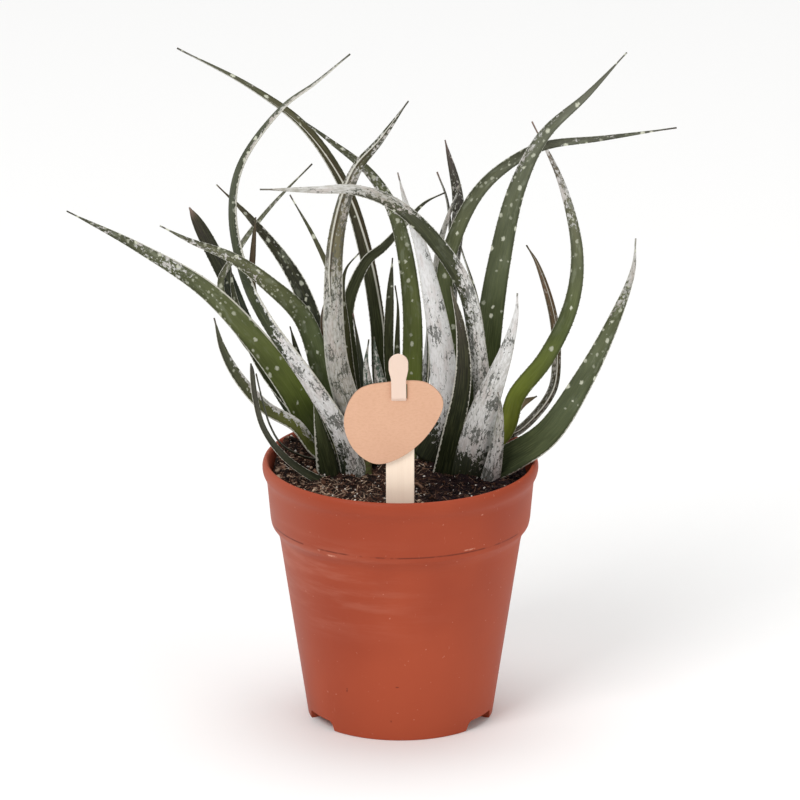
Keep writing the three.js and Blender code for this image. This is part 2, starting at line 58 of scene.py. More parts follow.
def addObject(name, data):
    made = bpy.data.objects.new(name, data)
    bpy.context.scene.collection.objects.link(made)
    return made


def closedMesh(name, points, faces):
    # points are millimetres from the pot's axis; faces are turned to look outwards
    mesh = bpy.data.meshes.new(name)
    mesh.from_pydata((np.asarray(points, float) * mm + np.array(potMiddle)).tolist(), [], faces)
    mesh.validate()
    shell = bmesh.new()
    shell.from_mesh(mesh)
    bmesh.ops.recalc_face_normals(shell, faces=shell.faces)
    shell.to_mesh(mesh)
    shell.free()
    return mesh


def shadeSmooth(mesh, sharp):
    # all smooth, or with crisp edges where faces bend by more than sharp degrees
    mesh.polygons.foreach_set("use_smooth", [True] * len(mesh.polygons))
    if sharp:
        mesh.set_sharp_from_angle(angle=math.radians(sharp))


def meshPiece(name, points, faces, material, stands, sharp=0):
    piece = addObject(name, closedMesh(name, points, faces))
    shadeSmooth(piece.data, sharp)
    piece.data.materials.append(material)
    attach(piece, "root")
    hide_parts(stands)
    return piece


def settledMesh(piece):
    # what modifiers or curves come to
    return bpy.data.meshes.new_from_object(piece.evaluated_get(bpy.context.evaluated_depsgraph_get()))


def paintPoints(piece, name, values):
    values = np.asarray(values, np.float32)
    kinds = {1: ("FLOAT", "value"), 3: ("FLOAT_VECTOR", "vector"), 4: ("FLOAT_COLOR", "color")}
    kind, field = kinds[values[0].size]
    piece.data.attributes.new(name, kind, "POINT").data.foreach_set(field, values.ravel())


def tubeFaces(rings, count, start=0, capped=True):
    # quads between rings of count points each, and a face over each end
    last = start + (rings - 1) * count
    faces = [(low + i, low + (i + 1) % count, low + count + (i + 1) % count, low + count + i)
             for low in range(start, last, count) for i in range(count)]
    if capped:
        faces += [tuple(range(start + count - 1, start - 1, -1)), tuple(range(last, last + count))]
    return faces


def colour(red, green, blue):
    # screen colour, 0 to 255, to the linear colour that shaders take
    def linear(share):
        return share / 12.92 if share <= 0.04045 else ((share + 0.055) / 1.055) ** 2.4
    return (linear(red / 255), linear(green / 255), linear(blue / 255), 1.0)


def evenSteps(values, share):
    # a value, or a list of them, between evenly spaced steps from 0 to 1
    table = np.asarray(values, float)
    place = share * (len(table) - 1)
    low = min(int(place), len(table) - 2)
    return table[low] + (table[low + 1] - table[low]) * (place - low)


def within(value, low=0):
    return min(1, max(low, value))


def eased(part):
    return part * part * (3 - 2 * part)


class Skin:
    # a material: nodes from left to right, and the tone that its coats build up
    def __init__(self, name, look, tone=None):
        self.material = bpy.data.materials.new(name)
        self.material.use_nodes = True
        self.tree = self.material.node_tree
        self.shader = self.tree.nodes["Principled BSDF"]
        self.look = look
        self.tone = tone

    def plug(self, socket, value):
        # value is another node's output, a constant, or the name of one in the look
        if isinstance(value, bpy.types.NodeSocket):
            self.tree.links.new(value, socket)
        else:
            socket.default_value = self.look[value] if isinstance(value, str) else value

    def node(self, kind, inputs=(), **settings):
        # a new node, given back as its outputs
        made = self.tree.nodes.new("ShaderNode" + kind)
        for setting, value in settings.items():
            setattr(made, setting, value)
        for socket, value in dict(inputs).items():
            self.plug(made.inputs[socket], value)
        return made.outputs

    def painted(self, name, output="Fac"):
        return self.node("Attribute", attribute_name=name)[output]

    def place(self):
        return self.node("TexCoord")["Object"]

    def parts(self, vector):
        return self.node("SeparateXYZ", {0: vector})

    def maths(self, operation, *values):
        return self.node("Math", enumerate(values), operation=operation)[0]

    def times(self, first, *others):
        for value in others:
            first = self.maths("MULTIPLY", first, value)
        return first

    def stretch(self, vector, scale):
        # scale has a number for each axis; the third is 1 if left out
        return self.node("VectorMath", {0: vector, 1: (*scale, 1)[:3]}, operation="MULTIPLY")[0]

    def noise(self, vector, scale, detail=2, roughness=0.5):
        # scale is one number or one for each axis; with two of them the noise is flat
        flat = isinstance(scale, tuple) and len(scale) == 2
        if isinstance(scale, tuple):
            vector, scale = self.stretch(vector, scale), 1
        inputs = {"Vector": vector, "Scale": scale, "Detail": detail, "Roughness": roughness}
        return self.node("TexNoise", inputs, noise_dimensions="2D" if flat else "3D")["Fac"]

    def cells(self, vector):
        # how far the nearest cell's middle is, and three random numbers for that cell
        inputs = {"Vector": vector, "Scale": 1, "Randomness": 0.85}
        made = self.node("TexVoronoi", inputs, voronoi_dimensions="2D", feature="F1")
        return made["Distance"], self.parts(made["Color"])

    def wander(self, vector, scale, reach):
        # the same place, pushed about by up to half of reach
        push = self.node("TexNoise", {"Vector": vector, "Scale": scale}, noise_dimensions="2D")["Color"]
        inputs = {0: push, 1: (reach, reach, 0), 2: vector}
        return self.node("VectorMath", inputs, operation="MULTIPLY_ADD")[0]

    def step(self, value, low, high, start=0, end=1):
        # eased from start, where the value is at low, to end, where it is at high
        return self.node("MapRange", enumerate((value, low, high, start, end)),
                         interpolation_type="SMOOTHSTEP")[0]

    def near(self, value, middle, reach):
        # 1 where the value is at middle, 0 from reach away
        away = self.maths("ABSOLUTE", self.maths("SUBTRACT", value, middle))
        return self.step(away, reach, reach * 0.4)

    def mix(self, share, first, second):
        return self.node("Mix", {"Factor": share, 6: first, 7: second}, data_type="RGBA")[2]

    def coat(self, share, tone):
        self.tone = self.mix(share, self.tone, tone)

    def bump(self, height, strength, distance):
        made = self.node("Bump", {"Height": height, "Strength": strength, "Distance": distance})
        self.plug(self.shader.inputs["Normal"], made[0])

    def finish(self, roughness, gloss):
        self.plug(self.shader.inputs["Base Color"], self.tone)
        self.plug(self.shader.inputs["Roughness"], roughness)
        self.shader.inputs["Specular IOR Level"].default_value = gloss
        return self.material


# How the side of a leaf that faces the camera is coloured, in even steps from stem to tip. tone is
# its ground colour, with dark first steps as painted shade where the leaves crowd at the stem, and
# steps on some leaves lighter or darker as painted light for how lit that part is. frost the share
# of it under silver, freckles how much dark shows in the silver and shine how bright it is, partly
# the silver's own tone and partly painted light and shade, dots the share of places that hold a pale
# dot. fold is where a pale fold line runs, from -1 at the left edge to 1 at the right one, and
# foldShare how wide it is. soft blurs the frost, lean moves it to the right edge (or the left one if
# negative). margin is the weight of the pale edge line, which fades before rimEnd, and tip the colour
# of the dry point. back marks the looks that show a leaf's outer side.
leafLooks = {
    "meadow": {
        "tone": [(36, 44, 22), (92, 104, 44), (98, 106, 62), (92, 97, 68), (84, 86, 66), (66, 66, 56)],
        "frost": [0, 0, 0, 0.08, 0.54, 0.4, 0.45], "dots": [0, 0.3, 0.5, 0.8, 1, 1, 1], "soft": 0.45,
        "margin": 0.6, "tip": (66, 60, 54)},
    "grassy": {
        "tone": [(32, 38, 20), (54, 64, 30), (88, 95, 68), (96, 100, 80), (104, 106, 92), (98, 98, 88)],
        "frost": [0, 0, 0, 0.02, 0.1, 0.45, 0.15, 0.25], "dots": [0, 0.2, 0.35, 0.45, 0.8, 0.5, 0.4],
        "soft": 0.7, "lean": -0.2, "margin": 0.4, "tip": (104, 100, 92)},
    "arched": {
        "tone": [(28, 34, 18), (60, 70, 32), (86, 94, 60), (94, 98, 72), (96, 98, 82), (90, 90, 80),
                 (84, 84, 76)],
        "frost": [0, 0, 0.02, 0.06, 0.2, 0.3, 0.45, 0.2], "dots": [0, 0.25, 0.45, 0.6, 1, 0.8, 0.6],
        "soft": 0.6, "margin": 0.6, "tip": (84, 76, 70)},
    # its bright yellow-green base is partly a painted highlight
    "lime": {
        "tone": [(168, 172, 64), (126, 138, 50), (84, 94, 52), (102, 106, 80), (112, 108, 92),
                 (128, 104, 96)],
        "frost": [0, 0, 0.02, 0.32, 0.6, 0.5], "dots": [0, 0.1, 0.4, 0.7, 0.7, 0.3], "soft": 0.6,
        "margin": 0.4, "tip": (150, 120, 112)},
    "deepGreen": {
        "tone": [(30, 38, 24), (72, 80, 52), (82, 90, 64), (96, 102, 76), (86, 90, 62), (104, 104, 90)],
        "frost": [0, 0, 0, 0.06, 0.6, 0.9], "shine": [0.7, 0.7, 0.7, 0.5, 0.4, 0.6],
        "dots": [0, 0.1, 0.4, 0.75, 0.7, 0.3], "soft": 0.5, "margin": 0.9, "tip": (170, 168, 158)},
    "dotted": {
        "tone": [(34, 42, 28), (72, 82, 48), (100, 110, 74), (100, 104, 72), (94, 94, 72), (84, 80, 68)],
        "frost": [0, 0, 0.02, 0.32, 0.46, 0.5], "dots": [0, 0.4, 0.8, 1, 1, 1], "soft": 0.35,
        "margin": 0.7, "tip": (96, 90, 84)},
    "shaded": {
        "tone": [(22, 26, 14), (42, 48, 24), (54, 58, 34), (60, 62, 44), (70, 70, 58)],
        "frost": [0, 0, 0.02, 0.14, 0.36], "dots": [0, 0, 0.15, 0.4, 0.5], "soft": 0.6, "margin": 1.2,
        "tip": (78, 70, 64)},
    "creased": {
        "tone": [(22, 26, 14), (42, 48, 24), (52, 56, 34), (56, 52, 38), (64, 58, 42), (80, 76, 54),
                 (80, 80, 62), (76, 76, 64)],
        "frost": [0, 0, 0.02, 0.05, 0.12, 0.3, 0.4], "dots": [0, 0, 0.1, 0.2, 0.3, 0.5, 0.5],
        "fold": [0.7, 0.7, 0.7, 0.55, 0.25, -0.12, -0.5, -0.6, -0.6],
        "foldShare": [0, 0.3, 0.8, 1, 1, 0.8, 0.15, 0, 0], "soft": 0.4, "margin": 0.8, "tip": (78, 70, 64)},
    "rimmed": {
        "tone": [(24, 30, 18), (32, 38, 22), (36, 40, 26), (46, 44, 34), (66, 60, 52), (100, 92, 82)],
        "frost": [0, 0, 0.02, 0.12, 0.3, 0.35], "dots": [0, 0, 0, 0.1, 0.1], "soft": 0.5, "margin": 1.7,
        "tip": (110, 104, 98)},
    # a near-black leaf with pale specks; its dark tone is partly painted shade
    "sooty": {
        "tone": [(38, 46, 30), (50, 56, 44), (46, 48, 40), (54, 50, 40), (76, 66, 54)],
        "frost": [0, 0.04, 0.12, 0.34, 0.2], "dots": [0, 0.1, 0.7, 0.9, 0.5], "soft": 0.15, "margin": 1.3,
        "tip": (96, 80, 72)},
    "darkStub": {
        "tone": [(34, 38, 24), (40, 46, 26), (60, 66, 40), (66, 72, 48)], "frost": [0.1, 0.02, 0, 0.1],
        "dots": [0, 0, 0, 0.1], "soft": 0.2, "lean": 0.35, "margin": 1.8, "back": True},
    "olive": {
        "tone": [(84, 94, 34), (94, 98, 46), (84, 86, 52), (82, 84, 66), (74, 74, 62)],
        "frost": [0, 0.42, 0.36, 0.2, 0.1], "dots": [0, 0, 0.3, 0.4, 0.4], "soft": 0.5, "lean": 0.4,
        "margin": 1.2},
    "slim": {
        "tone": [(40, 44, 22), (62, 66, 34), (76, 76, 48), (84, 82, 60), (72, 72, 60)],
        "frost": [0, 0, 0.06, 0.25, 0.35], "dots": [0, 0, 0.2, 0.5, 0.5], "soft": 0.6, "margin": 1},
    "mossy": {
        "tone": [(50, 56, 30), (78, 86, 42), (84, 92, 54), (108, 110, 88), (126, 128, 108),
                 (104, 104, 88)],
        "frost": [0, 0, 0.03, 0.4, 0.5, 0.3], "dots": [0, 0, 0.3, 0.6, 0.6, 0.4], "soft": 0.7,
        "margin": 0.8},
    "flecked": {
        "tone": [(44, 48, 32), (52, 56, 40), (60, 60, 48), (62, 60, 54), (64, 60, 58), (84, 74, 72)],
        "frost": [0.1, 0.3, 0.6, 0.62, 0.5, 0.35], "freckles": [0.8, 0.8],
        "shine": [0.6, 0.6, 0.6, 0.5, 0.3, 0.2], "soft": 0.3, "margin": 0.6, "tip": (120, 98, 94)},
    "blackened": {
        "tone": [(40, 36, 26), (38, 38, 28), (46, 46, 38), (50, 50, 44)], "frost": [0, 0, 0, 0.1],
        "soft": 0.6, "margin": 0.2},
    # its pale edge line is partly a painted highlight along the edge
    "greyGreen": {
        "tone": [(44, 50, 36), (62, 66, 52), (78, 80, 70), (82, 80, 72), (78, 76, 70)],
        "frost": [0, 0.02, 0.03, 0.05, 0.02], "soft": 1, "margin": 1, "tip": (70, 70, 66)},
    "silver": {
        "tone": [(30, 34, 24), (84, 88, 78), (66, 70, 60), (88, 88, 80), (110, 108, 102)],
        "frost": [0, 0.78, 0.82, 1, 1], "freckles": [0.7, 0.55, 0.6, 0.5, 0.45],
        "shine": [0.5, 0.8, 0.6, 0.8, 0.85], "soft": 0.12, "margin": 0.3, "tip": (180, 178, 170),
        "back": True},
    "fleckedSilver": {
        "tone": [(84, 82, 82), (80, 80, 78), (68, 68, 62), (86, 80, 74)],
        "frost": [0.72, 0.92, 0.88, 0.85], "freckles": [0.6, 0.65, 0.8, 0.7],
        "shine": [0.8, 0.8, 0.3, 0.3], "soft": 0.1, "margin": 0.4, "tip": (150, 144, 134), "back": True},
    "stubSilver": {
        "tone": [(26, 32, 22), (40, 56, 46), (66, 86, 76), (86, 98, 90)], "frost": [0.2, 0.55, 0.55, 0.5],
        "freckles": [0.8, 0.8, 0.8, 0.6], "shine": [0.4, 0.5, 0.5, 0.3], "soft": 0.15, "margin": 0.8,
        "back": True},
    "tallSilver": {
        "tone": [(36, 44, 34), (58, 62, 54), (52, 58, 38), (76, 80, 66), (84, 87, 74), (100, 100, 90)],
        "frost": [0.6, 0.9, 0.97, 0.3, 0.12, 0.1, 0.22, 0.4, 0.5],
        "freckles": [0.9, 0.6, 0.6, 0.5, 0.4, 0.4], "shine": [0.7, 0.9, 0.9, 0.7, 0.3, 0.4],
        "dots": [0, 0, 0.1, 0.2, 0.4, 0.3], "soft": 0.3, "lean": 0.35, "margin": 1.8,
        "tip": (110, 108, 98), "back": True},
    "archSilver": {
        "tone": [(50, 52, 46), (60, 62, 54), (62, 64, 52), (62, 64, 48), (58, 62, 44), (80, 80, 66),
                 (116, 110, 102), (136, 124, 116)],
        "frost": [0.85, 0.9, 0.84, 0.62, 0.05, 0.6, 1, 1],
        "freckles": [0.7, 0.7, 0.75, 0.7, 0.6, 0.75, 0, 0],
        "shine": [0.5, 0.5, 0.6, 0.7, 0.6, 0.2, 0.5, 0.2], "dots": [0, 0, 0, 0.3, 0.5, 0, 0, 0],
        "soft": 0.15, "lean": 0.35, "margin": 0.8, "tip": (120, 116, 108), "back": True},
    "whiteBack": {
        "tone": [(40, 44, 34), (80, 82, 74), (100, 100, 96), (100, 94, 88)],
        "frost": [0.1, 0.95, 1, 1, 1], "freckles": [0.9, 0.35, 0.4, 0.1, 0.4],
        "shine": [0.6, 1, 1, 1, 0.5], "soft": 0.15, "margin": 1, "tip": (158, 146, 140), "back": True},
    "stripedBack": {
        "tone": [(46, 50, 38), (78, 78, 66), (90, 88, 72), (100, 98, 78), (114, 108, 84), (112, 104, 82),
                 (66, 68, 52), (60, 62, 50)],
        "frost": [0.85, 0.92, 0.97, 0.86, 0.46, 0.6, 0.5, 0.5],
        "freckles": [0.8, 0.7, 0.45, 0.6, 1, 0.9, 0.7, 0.6],
        "shine": [0.1, 0.2, 0.35, 0.35, 0.1, 0.3, 0.5, 0.6], "dots": [0, 0, 0, 0, 0, 0, 0.2, 0.2],
        "fold": [0, 0, 0, -0.1, -0.5, -0.5, -0.5, -0.2, -0.1],
        "foldShare": [0, 0, 0, 0, 0.7, 1, 0.9, 0.6, 0], "soft": 0.3, "margin": 2, "rimEnd": 0.58,
        "tip": (96, 92, 82), "back": True},
    "brownTip": {
        "tone": [(38, 46, 30), (40, 52, 36), (44, 54, 42), (44, 50, 42), (48, 48, 42), (68, 60, 54)],
        "frost": [0, 0, 0.02, 0.04, 0.06, 0.1], "dots": [0, 0, 0.1, 0.1, 0.1, 0], "soft": 0.5,
        "margin": 0.6, "tip": (150, 124, 116)},
    "dry": {
        "tone": [(92, 84, 70), (128, 116, 102), (96, 84, 68), (88, 72, 56), (96, 82, 68)],
        "frost": [0.5, 0.6, 0.35, 0.35, 0.3], "freckles": [0.8, 0.8], "shine": [0.3, 0.3, 0.2, 0.1, 0.1],
        "dots": [0, 0, 0, 0.1, 0], "soft": 0.3, "margin": 0.6},
    "darkDry": {
        "tone": [(58, 52, 38), (66, 56, 44), (52, 46, 34), (84, 68, 50), (112, 88, 68), (120, 104, 86)],
        "frost": [0.3, 0.55, 0.6, 0.45, 0.4, 0.5], "freckles": [0.9, 1, 1, 0.9, 0.9],
        "shine": [0.3, 0.4, 0.3, 0.2, 0.3], "dots": [0, 0, 0.1, 0.1, 0],
        "fold": [0, 0.1, 0.2, 0.3, 0.3, 0], "foldShare": [0, 0.5, 0.8, 0.2, 0.4, 0], "soft": 0.15,
        "margin": 0.8},
    "withered": {
        "tone": [(96, 96, 60), (140, 128, 98), (150, 134, 104), (112, 92, 72)],
        "frost": [0.1, 0.45, 0.45, 0.2], "freckles": [1, 1], "soft": 0.2, "margin": 1.2},
    # the sides that turn away from the camera
    "plainFace": {
        "tone": [(36, 44, 22), (66, 78, 36), (74, 84, 50), (80, 82, 64)], "frost": [0, 0, 0.08, 0.4],
        "dots": [0, 0.3, 0.5, 0.6], "soft": 0.6, "margin": 0.6},
    "plainBack": {
        "tone": [(36, 42, 28), (60, 68, 44), (72, 76, 56), (84, 82, 70)], "frost": [0.1, 0.6, 0.7, 0.6],
        "freckles": [0.7, 0.7, 0.6, 0.6], "shine": [0.4, 0.5, 0.6, 0.6], "dots": [0, 0, 0, 0.1],
        "soft": 0.25, "margin": 0.8},
}
leafLooks["edged"] = {
    **leafLooks["meadow"],
    "dots": [0, 0.2, 0.4, 0.8, 1, 1, 1], "fold": [0.92, 0.92],
    "foldShare": [0, 0.2, 0.9, 0.9, 0.5, 0.2, 0]}

# A route runs from the stem to the tip as (across, up, back): across and up as seen along the
# camera's sight line, back as depth. width is the blade's full one, of which it keeps the share neck
# beyond its base, and a higher point makes a blunter tip. turn is how far the channelled face looks
# away from the front at base and tip, in degrees.
leaves = {
    "left_leaf_short": {"look": "darkStub", "width": 10, "point": 1.4, "turn": (200, 185),
        "route": [(-26, 86.5, 3), (-28, 96, 0), (-31, 109, -3), (-33, 118, -4)]},
    "front_leaf_tall": {"look": "tallSilver", "width": 10.4, "neck": 0.33, "point": 8, "turn": (180, 120),
        "route": [(-16.5, 86.5, 4), (-22, 104, -3), (-34, 124, -5), (-51, 148, -3), (-59, 164, 11),
                  (-64, 188, 18), (-61, 207, 18), (-45, 229, 16), (-32, 238.5, 15), (-19, 249, 14)]},
    "right_leaf_young": {"look": "fleckedSilver", "width": 7.6, "point": 1.4, "turn": (180, 190),
        "route": [(33.5, 85, 1), (35.5, 94, -4), (37.5, 106, -8), (38, 115, -10), (37, 121, -11)]},
    "right_leaf_silver": {"look": "silver", "width": 15, "point": 1.35, "turn": (180, 150),
        "route": [(25, 87, 4), (28, 101, -1), (32.4, 117, -5), (39.6, 136, -8), (43.8, 151, -9),
                  (44.3, 158.5, -9)]},
    "right_leaf_low": {"look": "deepGreen", "width": 12, "point": 1.6, "turn": (-20, -10),
        "route": [(33, 91, 7), (44, 96.5, 0), (56.5, 105.5, -6), (70, 126, -10), (81, 148, -14),
                  (88, 167, -17), (89, 179, -19)]},
    "left_leaf_broad": {"look": "edged", "width": 12, "point": 1.6, "turn": (30, 0),
        "route": [(-27, 95, 11), (-34, 107, 11), (-42, 122, 8), (-55, 140, 4), (-73.5, 159.5, -3),
                  (-99.3, 175.8, -12), (-126, 189.4, -22)]},
    "right_leaf_long_arch": {
        "look": "archSilver", "width": 8, "neck": 0.78, "point": 4.5, "turn": (150, 200),
        "route": [(26.5, 95.5, 8), (30, 106, 6), (31, 118, 3), (29, 137, -3), (25, 159, -8),
                  (14, 177, -13), (-2, 192, -18), (-17, 197.5, -22), (-32, 197.5, -26), (-53, 197.5, -32)]},
    "right_leaf_margin": {"look": "rimmed", "width": 8, "point": 3, "turn": (20, 20),
        "route": [(15, 87, 5), (19, 104, 1), (22.6, 120, -3), (23.6, 132, -6), (22.4, 147, -9),
                  (19, 161, -10.5)]},
    "middle_leaf_white": {"look": "whiteBack", "width": 12, "point": 1.7, "turn": (175, 180),
        "route": [(10, 96, 12), (14.5, 107, 8), (16.5, 121, 4), (15, 141, 1), (8, 175, -4),
                  (2, 192.5, -7), (-1, 204, -9)]},
    "front_leaf_silver": {
        "look": "stripedBack", "width": 12, "neck": 0.55, "point": 4, "turn": (185, 170),
        "route": [(-15, 95, 7), (-18, 110, 4), (-24, 132, 1), (-25.5, 156, 1), (-24, 182, 1),
                  (-17, 205, -1), (-8, 216, -4), (3, 231, -8)]},
    "left_leaf_dotted": {"look": "dotted", "width": 8.6, "point": 2.5, "turn": (10, 0),
        "route": [(-24, 96.5, 12), (-27, 108, 15), (-31, 132, 16), (-37, 149, 14), (-50, 162, 5),
                  (-64, 172, -2), (-80, 178.5, -6), (-91, 184, -8)]},
    "right_leaf_tall": {"look": "grassy", "width": 11.2, "point": 1.8, "turn": (0, 0),
        "route": [(28, 97, 13), (31, 114, 16), (33, 139, 19), (37.5, 170, 22), (44.5, 199, 26),
                  (54.5, 218.5, 29), (71, 234, 33), (86, 250, 38)]},
    "middle_leaf_green": {"look": "meadow", "width": 8.4, "point": 2, "turn": (10, 0),
        "route": [(3, 98, 16), (4, 120, 15), (4, 156, 13), (-2, 188, 10), (-11.2, 203.5, 8),
                  (-27.2, 216.6, 4), (-40, 226, 0)]},
    "middle_leaf_arched": {"look": "arched", "width": 7.2, "point": 2.2, "turn": (0, 20),
        "route": [(8, 99, 20), (15, 107, 20), (20, 122, 20), (20, 144, 21), (16.6, 165, 23),
                  (24.2, 188.5, 27), (33.3, 201.5, 29), (48.3, 212.3, 31), (57, 215.3, 32),
                  (76, 217.5, 33), (105, 221.5, 35)]},
    "right_leaf_curved": {"look": "lime", "width": 7, "point": 2.5, "turn": (0, 20),
        "route": [(31, 97, 13), (40, 107, 15), (44, 119.5, 17), (55.5, 134.5, 20), (65, 155, 25),
                  (67, 175, 31), (61, 201, 39), (50, 224, 46)]},
    "middle_leaf_long": {"look": "creased", "width": 6, "point": 3.2, "turn": (0, 55),
        "route": [(1, 99.5, 21), (-7, 121, 27), (-9, 148, 31), (-14, 176, 36), (-22, 200, 42),
                  (-37, 222, 48), (-57, 237, 53), (-85, 252, 60)]},
    "left_leaf_low": {"look": "olive", "width": 5.8, "point": 4, "turn": (40, 20),
        "route": [(-27, 94.5, 6), (-33, 99, 3), (-40, 108, -2), (-51.5, 115, -8), (-62, 127, -14),
                  (-67.5, 137.5, -17), (-70.5, 149, -20)]},
    "left_leaf_over_rim": {"look": "greyGreen", "width": 4.2, "neck": 0.55, "point": 40, "turn": (10, 30),
        "route": [(-25, 86, 0), (-33, 88.5, -6), (-44.2, 96.5, -13), (-52, 107.3, -20), (-55.2, 119, -24),
                  (-56.6, 131.8, -26)]},
    "left_leaf_dark": {"look": "sooty", "width": 9.6, "point": 1.8, "turn": (0, 0),
        "route": [(-24, 97.5, 14), (-26, 118, 21), (-31, 139, 25), (-39.5, 163.5, 29), (-56, 186, 34),
                  (-70, 200, 40)]},
    "left_leaf_shade": {"look": "shaded", "width": 6, "point": 3, "turn": (0, 0),
        "route": [(-26.5, 97.5, 12.5), (-37, 112, 15), (-50.5, 128.5, 18), (-60, 146.5, 20),
                  (-63.5, 159, 21), (-64.5, 168.5, 22)]},
    "left_leaf_hooked": {"look": "mossy", "width": 5, "neck": 0.6, "point": 4, "turn": (10, 30),
        "route": [(-28, 97, 13), (-42, 121, 28), (-59, 140, 36), (-67, 154, 40), (-68.5, 164, 42),
                  (-64, 172, 43.5), (-58.5, 180.6, 45.5), (-48.6, 192.8, 48), (-33.6, 208, 51)]},
    "left_leaf_brown_tip": {"look": "brownTip", "width": 6, "point": 20, "turn": (0, 0),
        "route": [(-27, 97.5, 14), (-38, 110, 28), (-49, 127.5, 38), (-59, 147, 46), (-66.2, 164, 51),
                  (-74.5, 180.5, 55), (-80.5, 191.5, 57)]},
    "left_leaf_back": {"look": "dry", "width": 3.2, "neck": 0.85, "point": 12, "turn": (0, 0),
        "route": [(-23, 97.5, 15), (-36.5, 129, 19), (-44.5, 140.5, 21), (-50.5, 148, 22), (-55, 156, 23),
                  (-56.5, 164, 24), (-56, 175, 25), (-55, 187.5, 27)]},
    "left_leaf_thin": {"look": "blackened", "width": 2.4, "point": 3, "turn": (90, 90),
        "route": [(-28, 94.5, 6), (-38, 97, -2), (-45.4, 101.5, -8), (-49.5, 108.5, -11),
                  (-52.3, 118, -14), (-54.6, 128, -16)]},
    "left_leaf_hidden": {"look": "shaded", "width": 3.4, "point": 5, "turn": (0, 0),
        "route": [(-26, 98, 12), (-31, 114, 18), (-38, 132, 21), (-42, 146, 22)]},
    "left_leaf_brown": {"look": "darkDry", "width": 2.8, "point": 3, "turn": (0, 40),
        "route": [(-22, 97, 11), (-26, 129, 20), (-30, 148, 20), (-27, 161, 20)]},
    "front_leaf_fine": {"look": "slim", "width": 3, "point": 4, "turn": (0, 0),
        "route": [(-15, 95, 9), (-20, 129, 14), (-24.8, 160.5, 18), (-32.4, 179, 21), (-42, 196, 25)]},
    "front_leaf_olive": {"look": "slim", "width": 5.5, "point": 2, "turn": (0, 0),
        "route": [(-13, 95, 8), (-19, 124, 10), (-21, 146.5, 10), (-22, 159.5, 10), (-20.5, 168, 10),
                  (-15.5, 174, 10)]},
    "front_leaf_dark": {"look": "shaded", "width": 6, "point": 3, "turn": (0, 30),
        "route": [(-11, 93, 9), (-14, 120, 14), (-20, 141, 18), (-20, 155, 21), (-13, 171, 26),
                  (-6.5, 176.5, 29), (1, 184.5, 32), (9, 193, 36), (17, 197, 39)]},
    "front_leaf_slip": {"look": "brownTip", "width": 3, "point": 3, "turn": (0, 0),
        "route": [(-12, 95, 7), (-14, 124, 9), (-16, 139, 9), (-18, 151, 9)]},
    "middle_leaf_flecked": {"look": "stubSilver", "width": 7, "point": 1.6, "turn": (180, 180),
        "route": [(0, 97, 14), (-9, 112, 8), (-13, 131, 3), (-12, 141, 2)]},
    "middle_leaf_stub": {"look": "stubSilver", "width": 8, "point": 1.6, "turn": (180, 180),
        "route": [(2, 97.5, 14), (-5, 112, 10), (-9, 133, 6), (-10, 142, 5)]},
    "middle_leaf_shade": {"look": "shaded", "width": 4, "point": 6, "turn": (0, 0),
        "route": [(3, 99.5, 20), (-4, 129, 21), (-4, 156, 22), (-3, 172, 22)]},
    "middle_leaf_slip": {"look": "shaded", "width": 3.8, "point": 2, "turn": (0, 0),
        "route": [(4, 99.5, 20), (-1, 129, 18), (-1, 154, 18), (-2, 161.5, 18)]},
    "middle_leaf_edge": {"look": "shaded", "width": 3, "point": 3, "turn": (90, 90),
        "route": [(6, 95, 15), (10, 124, 14), (10.5, 139, 13), (9.5, 156, 12)]},
    "middle_leaf_tip": {"look": "fleckedSilver", "width": 3.4, "point": 5, "turn": (180, 180),
        "route": [(6, 99.5, 20), (11, 139, 27), (15, 177, 33), (19, 190, 34), (23, 200, 35)]},
    "right_leaf_dry": {"look": "darkDry", "width": 4, "point": 6, "turn": (40, 20),
        "route": [(31, 96, 15), (38, 103.5, 20), (46, 107.5, 24), (57.4, 121.5, 29), (59.2, 135, 33),
                  (58, 150, 36), (52, 170, 40), (48, 177, 41)]},
    "right_leaf_withered": {"look": "withered", "width": 4.6, "point": 5, "turn": (20, 20),
        "route": [(32, 97, 15), (38, 107, 20.5), (46, 116.5, 26), (52, 119.5, 29)]},
    "right_leaf_behind": {"look": "flecked", "width": 5.4, "point": 8, "turn": (0, 0),
        "route": [(26, 96, 16), (20, 130, 27), (19, 160, 33), (22, 193, 39), (17, 217, 45)]},
    "right_leaf_fine": {"look": "brownTip", "width": 2.6, "point": 6, "turn": (60, 60),
        "route": [(24, 96, 16), (19, 149, 38), (18, 193, 51), (14, 205, 55)]},
    "right_leaf_slip": {"look": "shaded", "width": 2.8, "point": 4, "turn": (60, 60),
        "route": [(29, 95, 12), (32, 129, 11), (29, 156, 12), (23, 176, 12)]},
    "back_leaf_left": {"look": "meadow", "width": 6, "point": 2, "turn": (180, 150),
        "route": [(-21, 98, 17), (-19, 111, 32), (-16, 120, 47), (-14.5, 120.5, 62)]},
    "back_leaf_middle": {"look": "meadow", "width": 7, "point": 2, "turn": (180, 190),
        "route": [(4, 99.5, 21), (2, 111, 36), (1, 120, 52), (3, 121, 68)]},
    "back_leaf_right": {"look": "meadow", "width": 6.4, "point": 2, "turn": (180, 200),
        "route": [(8, 99.5, 20), (14, 110, 34), (20, 119, 49), (23, 121, 64)]},
    "back_leaf_low": {"look": "meadow", "width": 5.6, "point": 2, "turn": (190, 210),
        "route": [(29, 98, 14), (31, 107, 28), (32, 113, 42), (33, 112, 56)]},
}
